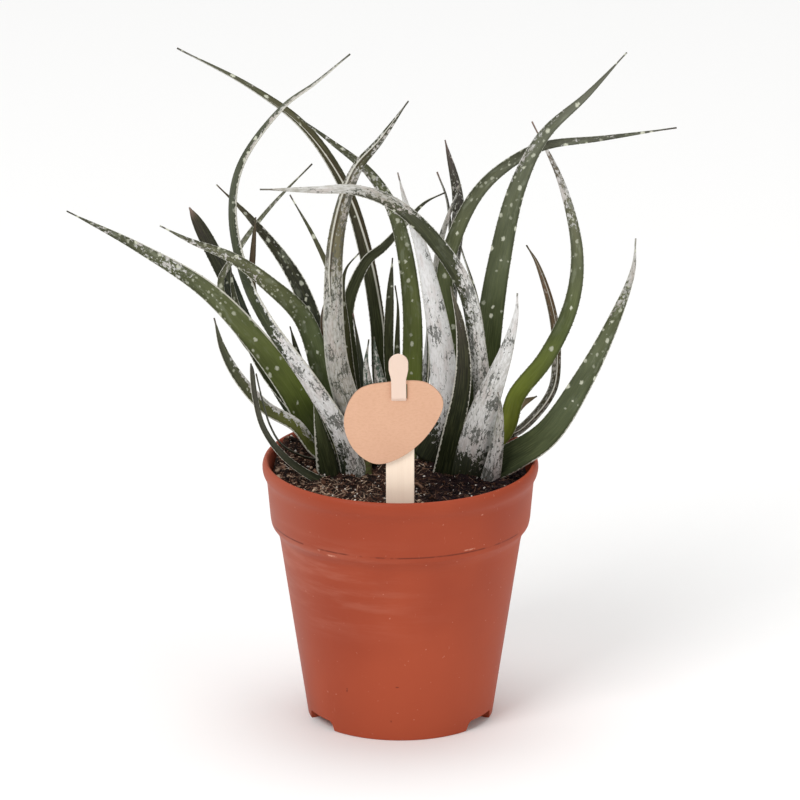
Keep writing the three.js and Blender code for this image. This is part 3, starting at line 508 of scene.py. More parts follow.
leafMake = {
    "rings": 96,
    "around": 28,
    "tipWidth": 0.6,
    "cup": 0.17,
    "thickness": 0.3,
    "leastThickness": 0.6,
    "corner": 0.75,  # below 1 the blade's section is fuller than an oval
    "faceShare": 0.35,  # share of the thickness that lies on the channelled side
    "dryTip": 0.955,  # share of the length where the dry point starts
    "dryTone": (92, 82, 74),
    "toothHeight": 0.32,
    "toothLength": 0.7,
    "toothHalf": 0.16,
    "toothSeat": 0.985,  # where teeth stand, as a share of the half width
    "toothSpacing": 2.7,
    "toothedShare": 0.9,  # of the length, from the base
    "toothedWidth": 5.5,  # narrower leaves are smooth
    "slimWidth": 4.5,  # narrower leaves look alike on both sides
    "shift": 400,  # moves the pattern along, for each leaf by its own share
    "backShift": 60,  # and across, for the outer side
}


def spot(across, up, back):
    return np.array((across, back, (up - back * math.sin(sightTilt)) / math.cos(sightTilt)))


def curveBetween(before, start, end, after, steps):
    # a centripetal Catmull-Rom curve from start to just before end
    legs = [math.sqrt(np.linalg.norm(b - a)) for a, b in ((before, start), (start, end), (end, after))]
    leave = (start - before) / legs[0] - (end - before) / (legs[0] + legs[1]) + (end - start) / legs[1]
    arrive = (end - start) / legs[1] - (after - start) / (legs[1] + legs[2]) + (after - end) / legs[2]
    leave, arrive = leave * legs[1], arrive * legs[1]
    return [start + leave * part + (3 * (end - start) - 2 * leave - arrive) * part ** 2
            + (2 * (start - end) + leave + arrive) * part ** 3 for part in np.arange(steps) / steps]


def smoothRoute(route, count):
    # count even steps along the curve through the route's points
    points = [spot(*point) for point in route]
    points = [2 * points[0] - points[1], *points, 2 * points[-1] - points[-2]]
    fine = []
    for before, start, end, after in zip(points, points[1:], points[2:], points[3:]):
        fine += curveBetween(before, start, end, after, 50)
    fine = np.array([*fine, points[-2]])
    reach = np.concatenate(([0], np.cumsum(np.linalg.norm(np.diff(fine, axis=0), axis=1))))
    even = np.linspace(0, reach[-1], count)
    places = np.stack([np.interp(even, reach, fine[:, axis]) for axis in range(3)], axis=1)
    tangents = np.gradient(places, axis=0)
    return places, tangents / np.linalg.norm(tangents, axis=1)[:, None], reach[-1]


def leafSection(leaf, along, tangent):
    # the directions of the blade's side and face, and its width there
    neck = leaf.get("neck", 1)
    blade = leaf["width"] * (neck + (1 - neck) * (1 - along) ** 3) * (1 - along ** leaf["point"])
    base, tip = leaf["turn"]
    roll = math.radians(base + (tip - base) * along)
    front = np.array((0, -math.cos(sightTilt), math.sin(sightTilt)))
    face = front - tangent * np.dot(front, tangent)
    face /= np.linalg.norm(face)
    face = face * math.cos(roll) + np.cross(tangent, face) * math.sin(roll)
    return np.cross(tangent, face), face, max(blade, leafMake["tipWidth"])


def leafPaint(look, across, wide, along):
    # what one point is painted with; across runs from -1 at the left edge to 1 at the right one
    def here(key, usual=(0, 0)):
        return evenSteps(look.get(key, usual), along)

    dry = within((along - leafMake["dryTip"]) / (1 - leafMake["dryTip"]))
    tip = colour(*look.get("tip", leafMake["dryTone"]))
    frost = here("frost")
    if frost > 0:
        frost = within(frost + look.get("lean", 0) * across)
    folded = here("foldShare")
    fromFold = 9  # millimetres, far from any fold
    if folded > 0.1:
        fromFold = (across - here("fold")) * wide / 2 / folded
    rimmed = within((look.get("rimEnd", 2) - along) * 8, 0.15)
    return {
        "bladeEdge": (1 - abs(across)) * max(wide, 5) / 2,
        "bladeTone": [a + (b - a) * dry for a, b in zip(colour(*here("tone")), tip)],
        "bladeMarks": (frost * (1 - dry), here("dots"), look["soft"]),
        "bladeSilver": (here("freckles", (0.5, 0.5)), here("shine", (0.7, 0.7)), fromFold),
        "bladeMargin": look["margin"] * (1 - dry) * rimmed,
    }


def leafPiece(name, leaf, material):
    make = leafMake
    rings, around = make["rings"], make["around"]
    places, tangents, length = smoothRoute(leaf["route"], rings)
    look = leafLooks[leaf["look"]]
    upper, lower, rightward = look, leafLooks["plainBack"], 1
    if look.get("back"):  # its outer side faces the camera, so that right and left change places
        upper, lower, rightward = leafLooks["plainFace"], look, -1
    if leaf["width"] < make["slimWidth"]:
        upper = lower = look
    draw = random.Random(name)
    shift = draw.uniform(0, make["shift"])
    points, paints = [], {}

    def addPoint(point, across, toRight, wide, along, inner):
        points.append(point)
        paint = leafPaint(upper if inner else lower, toRight, wide, along)
        offset = 0 if inner else make["backShift"]
        paint["bladePlan"] = (across * wide / 2 + offset, along * length + shift, 0)
        for layer, value in paint.items():
            paints.setdefault(layer, []).append(value)

    for ring in range(rings):
        along = ring / (rings - 1)
        side, face, wide = leafSection(leaf, along, tangents[ring])
        thick = max(wide * make["thickness"], min(make["leastThickness"], 0.2 + wide))
        for corner in range(around):
            angle = 2 * math.pi * corner / around
            across, outward = (math.copysign(abs(a) ** make["corner"], a)
                               for a in (math.cos(angle), math.sin(angle)))
            inner = math.sin(angle) > 0
            lift = outward * thick * (make["faceShare"] if inner else 1 - make["faceShare"])
            lift += make["cup"] * wide * across ** 2
            point = places[ring] + side * (across * wide / 2) + face * lift
            addPoint(point, across, across * rightward, wide, along, inner)
    faces = tubeFaces(rings, around)
    # small soft teeth along both margins, each a slim pyramid that leans towards the tip; all have the
    # colours of the right edge
    for hand in (-1, 1) if leaf["width"] > make["toothedWidth"] else ():
        reach = make["toothSpacing"] * draw.uniform(1, 2)
        while reach < length * make["toothedShare"]:
            along = reach / length
            ring = min(int(along * (rings - 1)), rings - 2)
            side, face, wide = leafSection(leaf, along, tangents[ring])
            rim = places[ring] + side * (hand * wide / 2 * make["toothSeat"]) + face * (make["cup"] * wide)
            tall = make["toothHeight"] * draw.uniform(0.5, 1.1) * min(1, wide / 6)
            run, half = tangents[ring] * make["toothLength"], face * make["toothHalf"]
            start = len(points)
            for corner in (rim - run * 0.5, rim + half, rim + run * 0.5, rim - half,
                           rim + side * (hand * tall) + run * 0.35):
                addPoint(corner, hand, 1, wide, along, True)
            faces += [(start + i, start + (i + 1) % 4, start + 4) for i in range(4)]
            faces.append((start, start + 1, start + 2, start + 3))
            reach += make["toothSpacing"] * draw.uniform(0.7, 1.3)
    pieceName = name[0] + name.title().replace("_", "")[1:]
    piece = meshPiece(pieceName, points, faces, material, name)
    for layer, values in paints.items():
        paintPoints(piece, layer, values)


leafFinish = {
    "silver": colour(246, 246, 246),
    "dullSilver": colour(150, 147, 134),
    "blush": colour(196, 178, 172),
    "freckle": colour(62, 66, 56),
    "haze": colour(150, 156, 136),
    "streak": colour(150, 156, 104),
    "dot": colour(214, 216, 196),
    "margin": colour(212, 210, 198),
    "shade": colour(30, 36, 16),
    "groove": colour(58, 46, 28),
    "marginWidth": 0.3,  # millimetres, as are the next three
    "foldReach": 0.48,
    "grooveOff": 0.85,
    "grooveReach": 0.6,
}


def leafMaterial(name, roughness, cover, line, relief):
    # cover is how opaque the silver is, line the same for the margin, relief the height of streaks
    make = leafFinish
    skin = Skin(name, make)
    plan = skin.painted("bladePlan", "Vector")
    frostShare, dotShare, soft = skin.parts(skin.painted("bladeMarks", "Vector"))
    freckled, shine, fromFold = skin.parts(skin.painted("bladeSilver", "Vector"))
    edge, weight = skin.painted("bladeEdge"), skin.painted("bladeMargin")
    # ground colour: slow drift, pale haze, fine lengthwise streaks and a darker strip at the margins
    skin.tone = skin.painted("bladeTone", "Color")
    streaks = skin.noise(plan, (2.4, 0.1), 3, 0.6)
    hazy = skin.step(skin.noise(plan, (0.34, 0.12), 3, 0.6), 0.52, 0.72)
    skin.coat(skin.step(skin.noise(plan, (0.2, 0.05)), 0.35, 0.7, 0, 0.3), "shade")
    skin.coat(skin.times(hazy, skin.step(dotShare, 0.25, 0.7, 0, 0.3)), "haze")
    skin.coat(skin.step(streaks, 0.4, 0.75, 0, 0.12), "streak")
    # a darker strip inside the margins: partly the leaf's own dark line beside its pale edge, partly
    # painted shade where the channelled blade turns away from the light
    skin.coat(skin.step(edge, 1.4, 0.25, 0, 0.45), "shade")
    # silver frosting, broken into flecks that run with the blade
    wobble = skin.wander(plan, 0.9, 1.1)
    flecks = skin.noise(wobble, (0.95, 0.5), 4, 0.62)
    patches = skin.noise(plan, (0.3, 0.09))
    field = skin.maths("MULTIPLY_ADD", skin.maths("SUBTRACT", patches, 0.5), 0.45, flecks)
    least = skin.step(frostShare, 0, 1, 0.82, 0.16)
    blur = skin.maths("MULTIPLY_ADD", soft, 0.16, 0.05)
    frost = skin.step(field, least, skin.maths("ADD", least, blur))
    grain = skin.noise(plan, (1.5, 0.4), 3, 0.6)
    # shine blends the silver from a painted shaded tone to a lit one: partly the silver's own brightness,
    # partly painted light and shade for how lit each leaf is
    bright = skin.maths("ADD", shine, skin.step(grain, 0.32, 0.68, -0.22, 0.12))
    silver = skin.mix(bright, "dullSilver", "silver")
    silver = skin.mix(skin.step(patches, 0.45, 0.75, 0, 0.35), silver, "blush")
    # dark freckles in clumps, and lengthwise cracks in the silver
    clump = skin.noise(plan, (0.22, 0.12))
    fewest = skin.maths("MULTIPLY_ADD", clump, -0.55, skin.maths("MULTIPLY_ADD", freckled, -0.24, 1))
    spots, cracks = skin.noise(wobble, (1.05, 0.6), 4, 0.6), skin.noise(wobble, (1.7, 0.12), 3, 0.6)
    spotted = skin.step(spots, fewest, skin.maths("ADD", fewest, 0.07), 0, 0.85)
    cracked = skin.step(cracks, fewest, skin.maths("ADD", fewest, 0.05), 0, 0.75)
    silver = skin.mix(skin.maths("MAXIMUM", spotted, cracked), silver, "freckle")
    skin.coat(skin.times(frost, skin.maths("MULTIPLY_ADD", soft, -0.35, cover)), silver)
    # pale dots: large soft ones, and smaller fainter ones where they are dense
    bare = skin.maths("SUBTRACT", 1, frost)
    large, small = skin.times(dotShare, 0.8), skin.step(dotShare, 0.5, 1, 0, 0.6)
    for scale, size, share, strength in ((0.27, 0.2), 0.15, large, 0.95), ((0.6, 0.36), 0.17, small, 0.55):
        distance, luck = skin.cells(skin.stretch(wobble, scale))
        reach = skin.maths("MULTIPLY_ADD", luck[1], 0.12, size)
        shape = skin.step(distance, reach, skin.maths("SUBTRACT", reach, 0.13))
        kept = skin.maths("LESS_THAN", luck[0], share)
        glow = skin.maths("MULTIPLY_ADD", luck[2], 0.65, 0.3)
        skin.coat(skin.times(shape, kept, glow, bare, strength), "dot")
    # a fold: a pale line along it, with a shaded groove on its right
    skin.coat(skin.times(skin.near(fromFold, make["grooveOff"], make["grooveReach"]), 0.65), "groove")
    skin.coat(skin.times(skin.near(fromFold, 0, make["foldReach"]), 0.85), "margin")
    # pale margin line, thinner and thicker along the leaf
    ragged = skin.noise(plan, (0, 0.7))
    limit = skin.step(ragged, 0.3, 0.7, make["marginWidth"] * 0.4, make["marginWidth"] * 1.5)
    limit = skin.times(limit, skin.maths("MAXIMUM", weight, 0.6))
    rim = skin.step(edge, limit, skin.times(limit, 0.4))
    skin.coat(skin.times(rim, skin.maths("MINIMUM", weight, 1), line), "margin")
    skin.bump(skin.maths("MULTIPLY_ADD", frost, 0.35, skin.times(streaks, relief)), 0.35, 0.00025)
    return skin.finish(skin.step(frost, 0, 1, roughness, roughness + 0.16), 0.16)


greenLeaf = leafMaterial("waxyLeaf", 0.5, 0.96, 0.85, 0.7)
dryLeaf = leafMaterial("dryLeaf", 0.75, 0.6, 0.55, 2)
slots = {row["node"]: row["material_slot"] for row in frame["record"]["subparts"]}
for name, leaf in leaves.items():
    leafPiece(name, leaf, dryLeaf if slots[name] == "dry_leaf" else greenLeaf)
print("leaves made:", len(leaves))

# Short stems keep their own solids and get a finish.
stemLook = {"fresh": colour(84, 92, 48), "aged": colour(74, 58, 40)}


def stemMaterial():
    skin = Skin("stemSkin", stemLook, "aged")
    bands = skin.noise(skin.place(), (250, 250, 900), 3)
    skin.coat(skin.step(bands, 0.35, 0.65), "fresh")
    skin.bump(bands, 0.4, 0.0004)
    return skin.finish(0.7, 0.3)


stemSkin = stemMaterial()
for name, node in frame["nodes"].items():
    if name.endswith("_stem"):
        node.data.materials.clear()
        node.data.materials.append(stemSkin)

soilMake = {
    "level": 92.5,
    "backBank": 7,
    "leftBank": 4.5,
    "bankReach": 50.8,
    "mounds": [(-40, 22, 2.5, 10), (-41, 17, 4, 6.5), (12, 14, 2.5, 22)],  # x, y, height, spread
    "lump": 0.6,
    "reach": 48.5,
    "wall": [(46.3, 78.5), (45.0, 71), (34, 6.1)],
    "rings": 120,
    "spokes": 320,
    "crumb": 0.8,
    "fibres": 3000,
    "chips": 1900,
    "grains": 260,
    "fibreTones": (0.05, 0.1, 0.3, 0.45, 0.7, 0.85),
    "chipTones": (0, 0, 0.05, 0.1, 0.3, 0.45, 0.6, 0.78),  # mostly dark, some reddish, a few pale
    "darkSide": 10,  # right of this, chips and fibres are darker
    "paleLump": (-12.5, -38, 3.2, 2.5, 2.0, 0.92, 0.2),  # x, y, long, wide, thick, tone, steep
}


def soilHeight(x, y):
    # the even surface, then clods, crumbs and grit on top of it
    make = soilMake
    lumps = math.sin(x * 0.55 + 1.3 * math.sin(y * 0.31)) + math.cos(y * 0.62 - 1.1 * math.sin(x * 0.27))
    height = make["level"] + make["lump"] * lumps
    height += make["backBank"] * (max(0, y) / make["bankReach"]) ** 2
    height += make["leftBank"] * (max(0, -x) / make["bankReach"]) ** 2
    for moundX, moundY, rise, spread in make["mounds"]:
        height += rise * math.exp(-((x - moundX) ** 2 + (y - moundY) ** 2) / spread ** 2)
    clods, crumbs, grit = (noise.noise(Vector((x * scale, y * scale, seed)))
                           for scale, seed in ((0.24, 3), (0.8, 9), (2.1, 21)))
    return height + make["crumb"] * (1.1 * clods + 1.1 * abs(crumbs) + 0.4 * grit)


def soilPiece(material):
    make = soilMake
    draw = random.Random(41)
    points, spokes = [(0, 0, soilHeight(0, 0))], make["spokes"]
    rows = [(make["reach"] * ring / make["rings"], None) for ring in range(1, make["rings"] + 1)]
    rows += make["wall"]
    for radius, height in rows:
        for spoke in range(spokes):
            angle = 2 * math.pi * spoke / spokes
            x, y = radius * math.cos(angle), radius * math.sin(angle)
            points.append((x, y, soilHeight(x, y) if height is None else height))
    faces = tubeFaces(len(rows), spokes, 1, capped=False)
    last = len(points) - spokes
    points.append((0, 0, make["wall"][-1][1]))
    for spoke in range(spokes):
        after = (spoke + 1) % spokes
        faces += [(0, 1 + spoke, 1 + after), (last + spoke, len(points) - 1, last + after)]
    tint = [0.0] * len(points)

    def addChip(x, y, long, wide, thick, tone, steep):
        # an irregular flake with bent corners, laid on the crumbs
        heading, pitch, roll = draw.uniform(0, math.pi), draw.gauss(0, steep), draw.gauss(0, steep)
        base = Vector((x, y, soilHeight(x, y) + thick * 0.25))
        level = math.cos(pitch)
        forward = Vector((math.cos(heading) * level, math.sin(heading) * level, math.sin(pitch)))
        sideways = Vector((-math.sin(heading), math.cos(heading), math.sin(roll))).normalized()
        up = forward.cross(sideways).normalized()
        faces.extend(tubeFaces(2, 6, len(points)))
        for side in (-0.5, 0.5):
            for a, b in ((-0.5, -0.3), (-0.1, -0.5), (0.35, -0.42), (0.5, 0.05), (0.25, 0.5), (-0.3, 0.42)):
                along = forward * (a * long * draw.uniform(0.75, 1.15))
                lift = up * (side * thick * draw.uniform(0.5, 1.2))
                points.append(tuple(base + along + sideways * (b * wide) + lift))
                tint.append(tone)

    def somewhere():
        radius, angle = (make["reach"] - 1.5) * math.sqrt(draw.random()), draw.uniform(0, 2 * math.pi)
        return radius * math.cos(angle), radius * math.sin(angle)

    for _ in range(make["fibres"]):
        x, y = somewhere()
        tone = draw.choice(make["fibreTones"]) * (1 if x < make["darkSide"] else 0.6)
        addChip(x, y, draw.uniform(1.8, 6), draw.uniform(0.14, 0.34), 0.22, tone, 0.3)
    for _ in range(make["chips"]):
        x, y = somewhere()
        size = 0.45 + 1.6 * draw.random() ** 4
        tone = draw.choice(make["chipTones"]) * (1 if x < make["darkSide"] else 0.5)
        addChip(x, y, size * 1.5, size * 0.8, size * 0.5, tone, 0.45)
    for _ in range(make["grains"]):
        x, y = somewhere()
        size = draw.uniform(0.3, 0.75)
        addChip(x, y, size * 1.3, size, size * 0.8, 1.0, 0.8)
    addChip(*make["paleLump"])
    piece = meshPiece("soilCrumbs", points, faces, material, "soil")
    paintPoints(piece, "chipTone", tint)


soilLook = {
    "dark": colour(24, 17, 15),
    "brown": colour(60, 38, 30),
    "rust": colour(98, 68, 52),
    "bark": colour(136, 106, 88),
    "tan": colour(206, 178, 154),
    "pale": colour(232, 226, 218),
    "plum": colour(34, 22, 28),
}


def soilMaterial():
    skin = Skin("peat", soilLook, "dark")
    place = skin.place()
    coarse, fine = skin.noise(place, 420, 3, 0.6), skin.noise(place, 1300, 3, 0.65)
    right = skin.step(skin.parts(place)[0], potMiddle.x - 0.004, potMiddle.x + 0.022)
    skin.coat(skin.step(coarse, 0.42, 0.62), "brown")
    skin.coat(skin.times(right, 0.8), "plum")
    skin.coat(skin.times(skin.step(fine, 0.55, 0.63), skin.step(right, 0, 1, 0.8, 0.15)), "rust")
    skin.coat(skin.times(skin.step(fine, 0.63, 0.68), skin.step(right, 0, 1, 0.85, 0.35)), "tan")
    # loose pieces by their tone, from reddish bark to pale bits
    tone = skin.painted("chipTone")
    skin.coat(skin.step(tone, 0.15, 0.35), "rust")
    skin.coat(skin.step(tone, 0.36, 0.5), "bark")
    skin.coat(skin.step(tone, 0.62, 0.74), "tan")
    skin.coat(skin.step(tone, 0.86, 0.95), "pale")
    skin.coat(skin.step(coarse, 0.55, 0.35, 0, 0.55), "dark")
    skin.bump(fine, 0.6, 0.0005)
    return skin.finish(skin.step(fine, 0.3, 0.7, 0.82, 0.98), 0.15)


soilPiece(soilMaterial())
print("soil made")

potMake = {
    "segments": 192,
    "profile": [  # radius, height, round of the corner
        (0, 3.9, 0), (32.9, 3.9, 0.3), (32.9, 0, 0.2), (35.1, 0, 0.5),
        (45.88, 70.4, 1.2), (46.6, 73, 0.8), (47.8, 74.9, 0.6), (49, 76.5, 0.6), (49.4, 78.5, 1.0),
        (50.7, 92.7, 2.0), (51.2, 94.5, 1.0), (52.2, 96.5, 1.2), (52.5, 98, 0.8), (52.5, 99.3, 0.8),
        (52.0, 100.8, 0.6), (51.2, 101.5, 0.5), (50.5, 101.2, 0.4),
        (49.8, 99.9, 0.5), (49.3, 94.5, 1.0), (47.0, 78.5, 1.0), (44.57, 71, 1.0),
        (34.44, 5.5, 0.5), (0, 5.5, 0)],
    "sharp": 38,  # edges that bend by more degrees stay crisp
    "feet": 3,
    # half of a notch between two feet, and the rib beside it: across and height, and their reach
    # from the axis
    "notch": [(9.09, -1), (8.49, 1.2), (7.99, 2.9), (6.89, 3.9)],
    "notchReach": (26, 42),
    "rib": [(8.49, 0.02), (10.09, 0.02), (10.09, 4.5), (8.49, 4.5)],
    "ribReach": (25, 32.9),
    "drainHoles": 6,
    "drainRadius": 3.5,
    "drainCircle": 21,
    "drainReach": (2, 8),  # heights
}


def roundedProfile(corners, steps=4):
    # each inner corner becomes a short arc that stays within the corner
    points = [corners[0][:2]]
    for before, corner, after in zip(corners, corners[1:], corners[2:]):
        here, back, ahead = (np.array(c[:2], float) for c in (corner, before, after))
        inLength, outLength = np.linalg.norm(back - here), np.linalg.norm(ahead - here)
        cut = min(corner[2], inLength * 0.45, outLength * 0.45)
        start = here + (back - here) / inLength * cut
        end = here + (ahead - here) / outLength * cut
        for part in np.linspace(0, 1, steps + 1):
            points.append((1 - part) ** 2 * start + 2 * part * (1 - part) * here + part ** 2 * end)
    return [*points, corners[-1][:2]]


def latheMesh(profile, segments):
    points, faces, rows = [], [], []
    for radius, height in profile:
        count = 1 if radius < 1e-6 else segments
        rows.append(range(len(points), len(points) + count))
        for segment in range(count):
            angle = 2 * math.pi * segment / segments
            points.append((radius * math.cos(angle), radius * math.sin(angle), height))
    for low, high in zip(rows, rows[1:]):
        for i in range(segments):
            j = (i + 1) % segments
            face = (low[i % len(low)], low[j % len(low)], high[j % len(high)], high[i % len(high)])
            faces.append(tuple(dict.fromkeys(face)))
    return points, faces


def tool(outline, reach, axes, start=(0, 0, 0)):
    # a prism to cut away or to add: its outline lies along the first two axes, its reach on the third
    points = [np.dot((u, v, w), axes) + start for w in reach for u, v in outline]
    return addObject("tool", closedMesh("tool", points, tubeFaces(2, len(outline))))


def reshape(piece, jobs):
    # jobs are (tool, "DIFFERENCE" or "UNION"), applied in order
    for part, operation in jobs:
        knife = piece.modifiers.new("knife", "BOOLEAN")
        knife.operation, knife.solver, knife.object = operation, "EXACT", part
    settled = settledMesh(piece)
    piece.modifiers.clear()
    piece.data = settled
    for part, _ in jobs:
        bpy.data.objects.remove(part)


def potPiece(material):
    make = potMake
    points, faces = latheMesh(roundedProfile(make["profile"]), make["segments"])
    piece = meshPiece("nurseryPot", points, faces, material, "pot")
    notch = make["notch"] + [(-across, height) for across, height in reversed(make["notch"])]
    jobs = []
    for foot in range(make["feet"]):
        turn = 2 * math.pi * (foot + 0.5) / make["feet"] - math.pi / 2
        axes = [(-math.sin(turn), math.cos(turn), 0), (0, 0, 1), (math.cos(turn), math.sin(turn), 0)]
        jobs.append((tool(notch, make["notchReach"], axes), "DIFFERENCE"))
        for hand in (1, -1):
            rib = [(across * hand, height) for across, height in make["rib"]]
            jobs.append((tool(rib, make["ribReach"], axes), "UNION"))
    drain = [(make["drainRadius"] * math.cos(a), make["drainRadius"] * math.sin(a))
             for a in np.linspace(0, 2 * math.pi, 32, endpoint=False)]
    for hole in range(make["drainHoles"]):
        turn = 2 * math.pi * hole / make["drainHoles"]
        middle = np.array((math.cos(turn), math.sin(turn), 0)) * make["drainCircle"]
        jobs.append((tool(drain, make["drainReach"], np.eye(3), middle), "DIFFERENCE"))
    reshape(piece, jobs)
    shadeSmooth(piece.data, make["sharp"])


potLook = {
    "clay": colour(171, 78, 51),
    "deep": colour(156, 67, 43),
    "bleached": colour(176, 104, 84),
    "scuff": colour(212, 150, 128),
    "dust": colour(208, 142, 122),
    "scratch": colour(104, 44, 30),
    "roughness": 0.5,
    "collar": 78.6,  # height of the crease where the collar starts
    # across and height of each mark on the front, half its width and height, lighter or darker
    "marks": [(-26, 76.9, 2.2, 0.5, "scuff"), (26.2, 79.6, 2.6, 0.4, "scuff"),
              (31, 93, 0.5, 0.4, "scuff"), (-1.3, 22.8, 1.0, 0.35, "scratch"),
              (-3.6, 8.2, 0.5, 0.5, "scratch"), (-20.3, 19.5, 0.4, 1.1, "scratch")],
}


def potMaterial():
    look = potLook
    skin = Skin("terracottaPlastic", look, "deep")
    place = skin.place()
    x, y, z = skin.parts(place)
    cloud, speck = skin.noise(place, 14, 3), skin.noise(place, 1400, 2, 0.6)
    skin.coat(skin.step(cloud, 0.35, 0.65), "clay")
    # the left edge, towards the key lamp, is painted lighter and paler: a painted sheen
    skin.coat(skin.step(x, potMiddle.x - 0.024, potMiddle.x - 0.052, 0, 0.35), "bleached")
    skin.coat(skin.step(skin.noise(place, (500, 500, 60), 5, 0.65), 0.69, 0.75, 0, 0.3), "scuff")
    # faint dusty smears on the left below the collar, and fine pale specks all over
    smears = skin.step(skin.noise(place, (30, 30, 230), 4, 0.65), 0.4, 0.72)
    left = skin.step(x, potMiddle.x + 0.03, potMiddle.x - 0.04)
    skin.coat(skin.times(smears, skin.near(z, 0.063, 0.026), left, 0.2), "dust")
    skin.coat(skin.step(skin.noise(place, 620), 0.71, 0.79, 0, 0.45), "scuff")
    # a broken dark crease where the collar starts, and a few marks on the front
    crease = skin.near(z, look["collar"] * mm, 0.42 * mm)
    broken = skin.step(skin.noise(place, (90, 90, 20), 3, 0.6), 0.42, 0.55)
    skin.coat(skin.times(crease, broken, 0.75), "scratch")
    ahead = skin.maths("LESS_THAN", y, potMiddle.y)
    rough = skin.step(skin.noise(place, 1500), 0.35, 0.55)
    for across, height, wide, tall, tone in look["marks"]:
        mark = skin.times(skin.near(x, potMiddle.x + across * mm, wide * mm),
                          skin.near(z, height * mm, tall * mm), ahead)
        skin.coat(skin.times(mark, rough, 0.75), tone)
    skin.bump(skin.maths("SUBTRACT", speck, crease), 0.12, 0.0002)
    return skin.finish(skin.step(cloud, 0.3, 0.7, look["roughness"] - 0.06, look["roughness"] + 0.08), 0.14)


potPiece(potMaterial())
print("pot made")

stickMake = {
    "width": 10.7, "thickness": 1.2, "bottom": 52, "back": -40, "shoulder": 136, "neckWidth": 5.7,
    "headWidth": 7.4, "headHeight": 152.6, "jogStart": 137.6, "jogEnd": 141.0, "jogForward": 3,
    "footTaper": 8, "footCut": 2,  # the buried foot's tapered length, and how much each side loses
    "slope": 2.5, "swell": 5, "headStraight": 2,  # heights between shoulder, neck and head
    "sway": [(134, -0.1), (139, -0.55), (152, -0.75)],  # height, and the middle of the wood across
    "edge": 0.22,
    "sharp": 30,
}


def stickHalfWidth(height):
    make = stickMake
    full, neck, head = make["width"] / 2, make["neckWidth"] / 2, make["headWidth"] / 2
    swellStart = make["headHeight"] - make["swell"]
    if height < swellStart:
        heights = (make["bottom"], make["bottom"] + make["footTaper"], make["shoulder"],
                   make["shoulder"] + make["slope"])
        return np.interp(height, heights, (full - make["footCut"], full, full, neck))
    if height < make["headHeight"]:
        return neck + (head - neck) * eased((height - swellStart) / make["swell"])
    above = max(0, height - make["headHeight"] - make["headStraight"])
    return head * math.sqrt(max(0.0, 1 - (above / head) ** 2))


def stickPiece(material):
    make = stickMake
    centre, head = make["headHeight"] + make["headStraight"], make["headWidth"] / 2
    heights = [*np.arange(make["bottom"], make["shoulder"], 4.0), *np.arange(make["shoulder"], centre, 0.5),
               *(centre + head * np.sin(np.linspace(0, math.pi / 2, 14)))]
    half, edge = make["thickness"] / 2, make["edge"]
    points = []
    for height in heights:
        wide = max(stickHalfWidth(height), 0.3)
        jog = eased(within((height - make["jogStart"]) / (make["jogEnd"] - make["jogStart"])))
        sway, y = np.interp(height, *zip(*make["sway"])), make["back"] - make["jogForward"] * jog
        trim = min(edge, wide * 0.5)
        for a, b in ((wide - trim, -half), (wide, -half + edge), (wide, half - edge), (wide - trim, half),
                     (trim - wide, half), (-wide, half - edge), (-wide, edge - half), (trim - wide, -half)):
            points.append((a + sway, y + b, height))
    faces = tubeFaces(len(heights), 8)
    meshPiece("labelStick", points, faces, material, "label_stick", make["sharp"])


woodLook = {
    "pale": colour(255, 236, 215),
    "head": colour(233, 208, 192),
    "grain": colour(236, 210, 188),
    "soiled": colour(220, 192, 168),
}


def woodMaterial():
    skin = Skin("paleWood", woodLook, "pale")
    place = skin.place()
    lines, pores = skin.noise(place, (900, 900, 24), 4, 0.6), skin.noise(place, (2600, 2600, 160))
    height = skin.parts(place)[2]
    # above the tag the head is painted darker and below it the shaft paler: painted light and shade that
    # even out the stronger light on the head and the tag's shadow on the shaft
    skin.coat(skin.step(height, 0.12, 0.14), "head")
    skin.coat(skin.step(lines, 0.42, 0.7, 0, 0.2), "grain")
    skin.coat(skin.step(pores, 0.62, 0.72, 0, 0.2), "grain")
    skin.coat(skin.times(skin.step(height, 0.1, 0.09, 0, 0.3), skin.step(pores, 0.4, 0.6)), "soiled")
    skin.bump(skin.maths("ADD", lines, pores), 0.15, 0.0001)
    return skin.finish(skin.step(lines, 0.3, 0.7, 0.62, 0.74), 0.25)


stickPiece(woodMaterial())

tagMake = {
    "thickness": 1.2,
    "front": -42.15,
    "corners": [(-21.4, 131.5), (-17.6, 119.7), (-9.5, 114), (-0.2, 116.4), (10.5, 125.8),
                (16.2, 138.8), (10.5, 146.1), (-3.6, 146.7), (-16.1, 143.4)],
    "steps": 14,  # between two corners
    # the slot's corners; its lower end is a shallow V
    "slot": [(-3.4, 140.2), (-3.4, 145.9), (2.6, 145.9), (2.6, 140.2), (-0.35, 139.5)],
    "edge": 0.16,
    "sharp": 35,
}


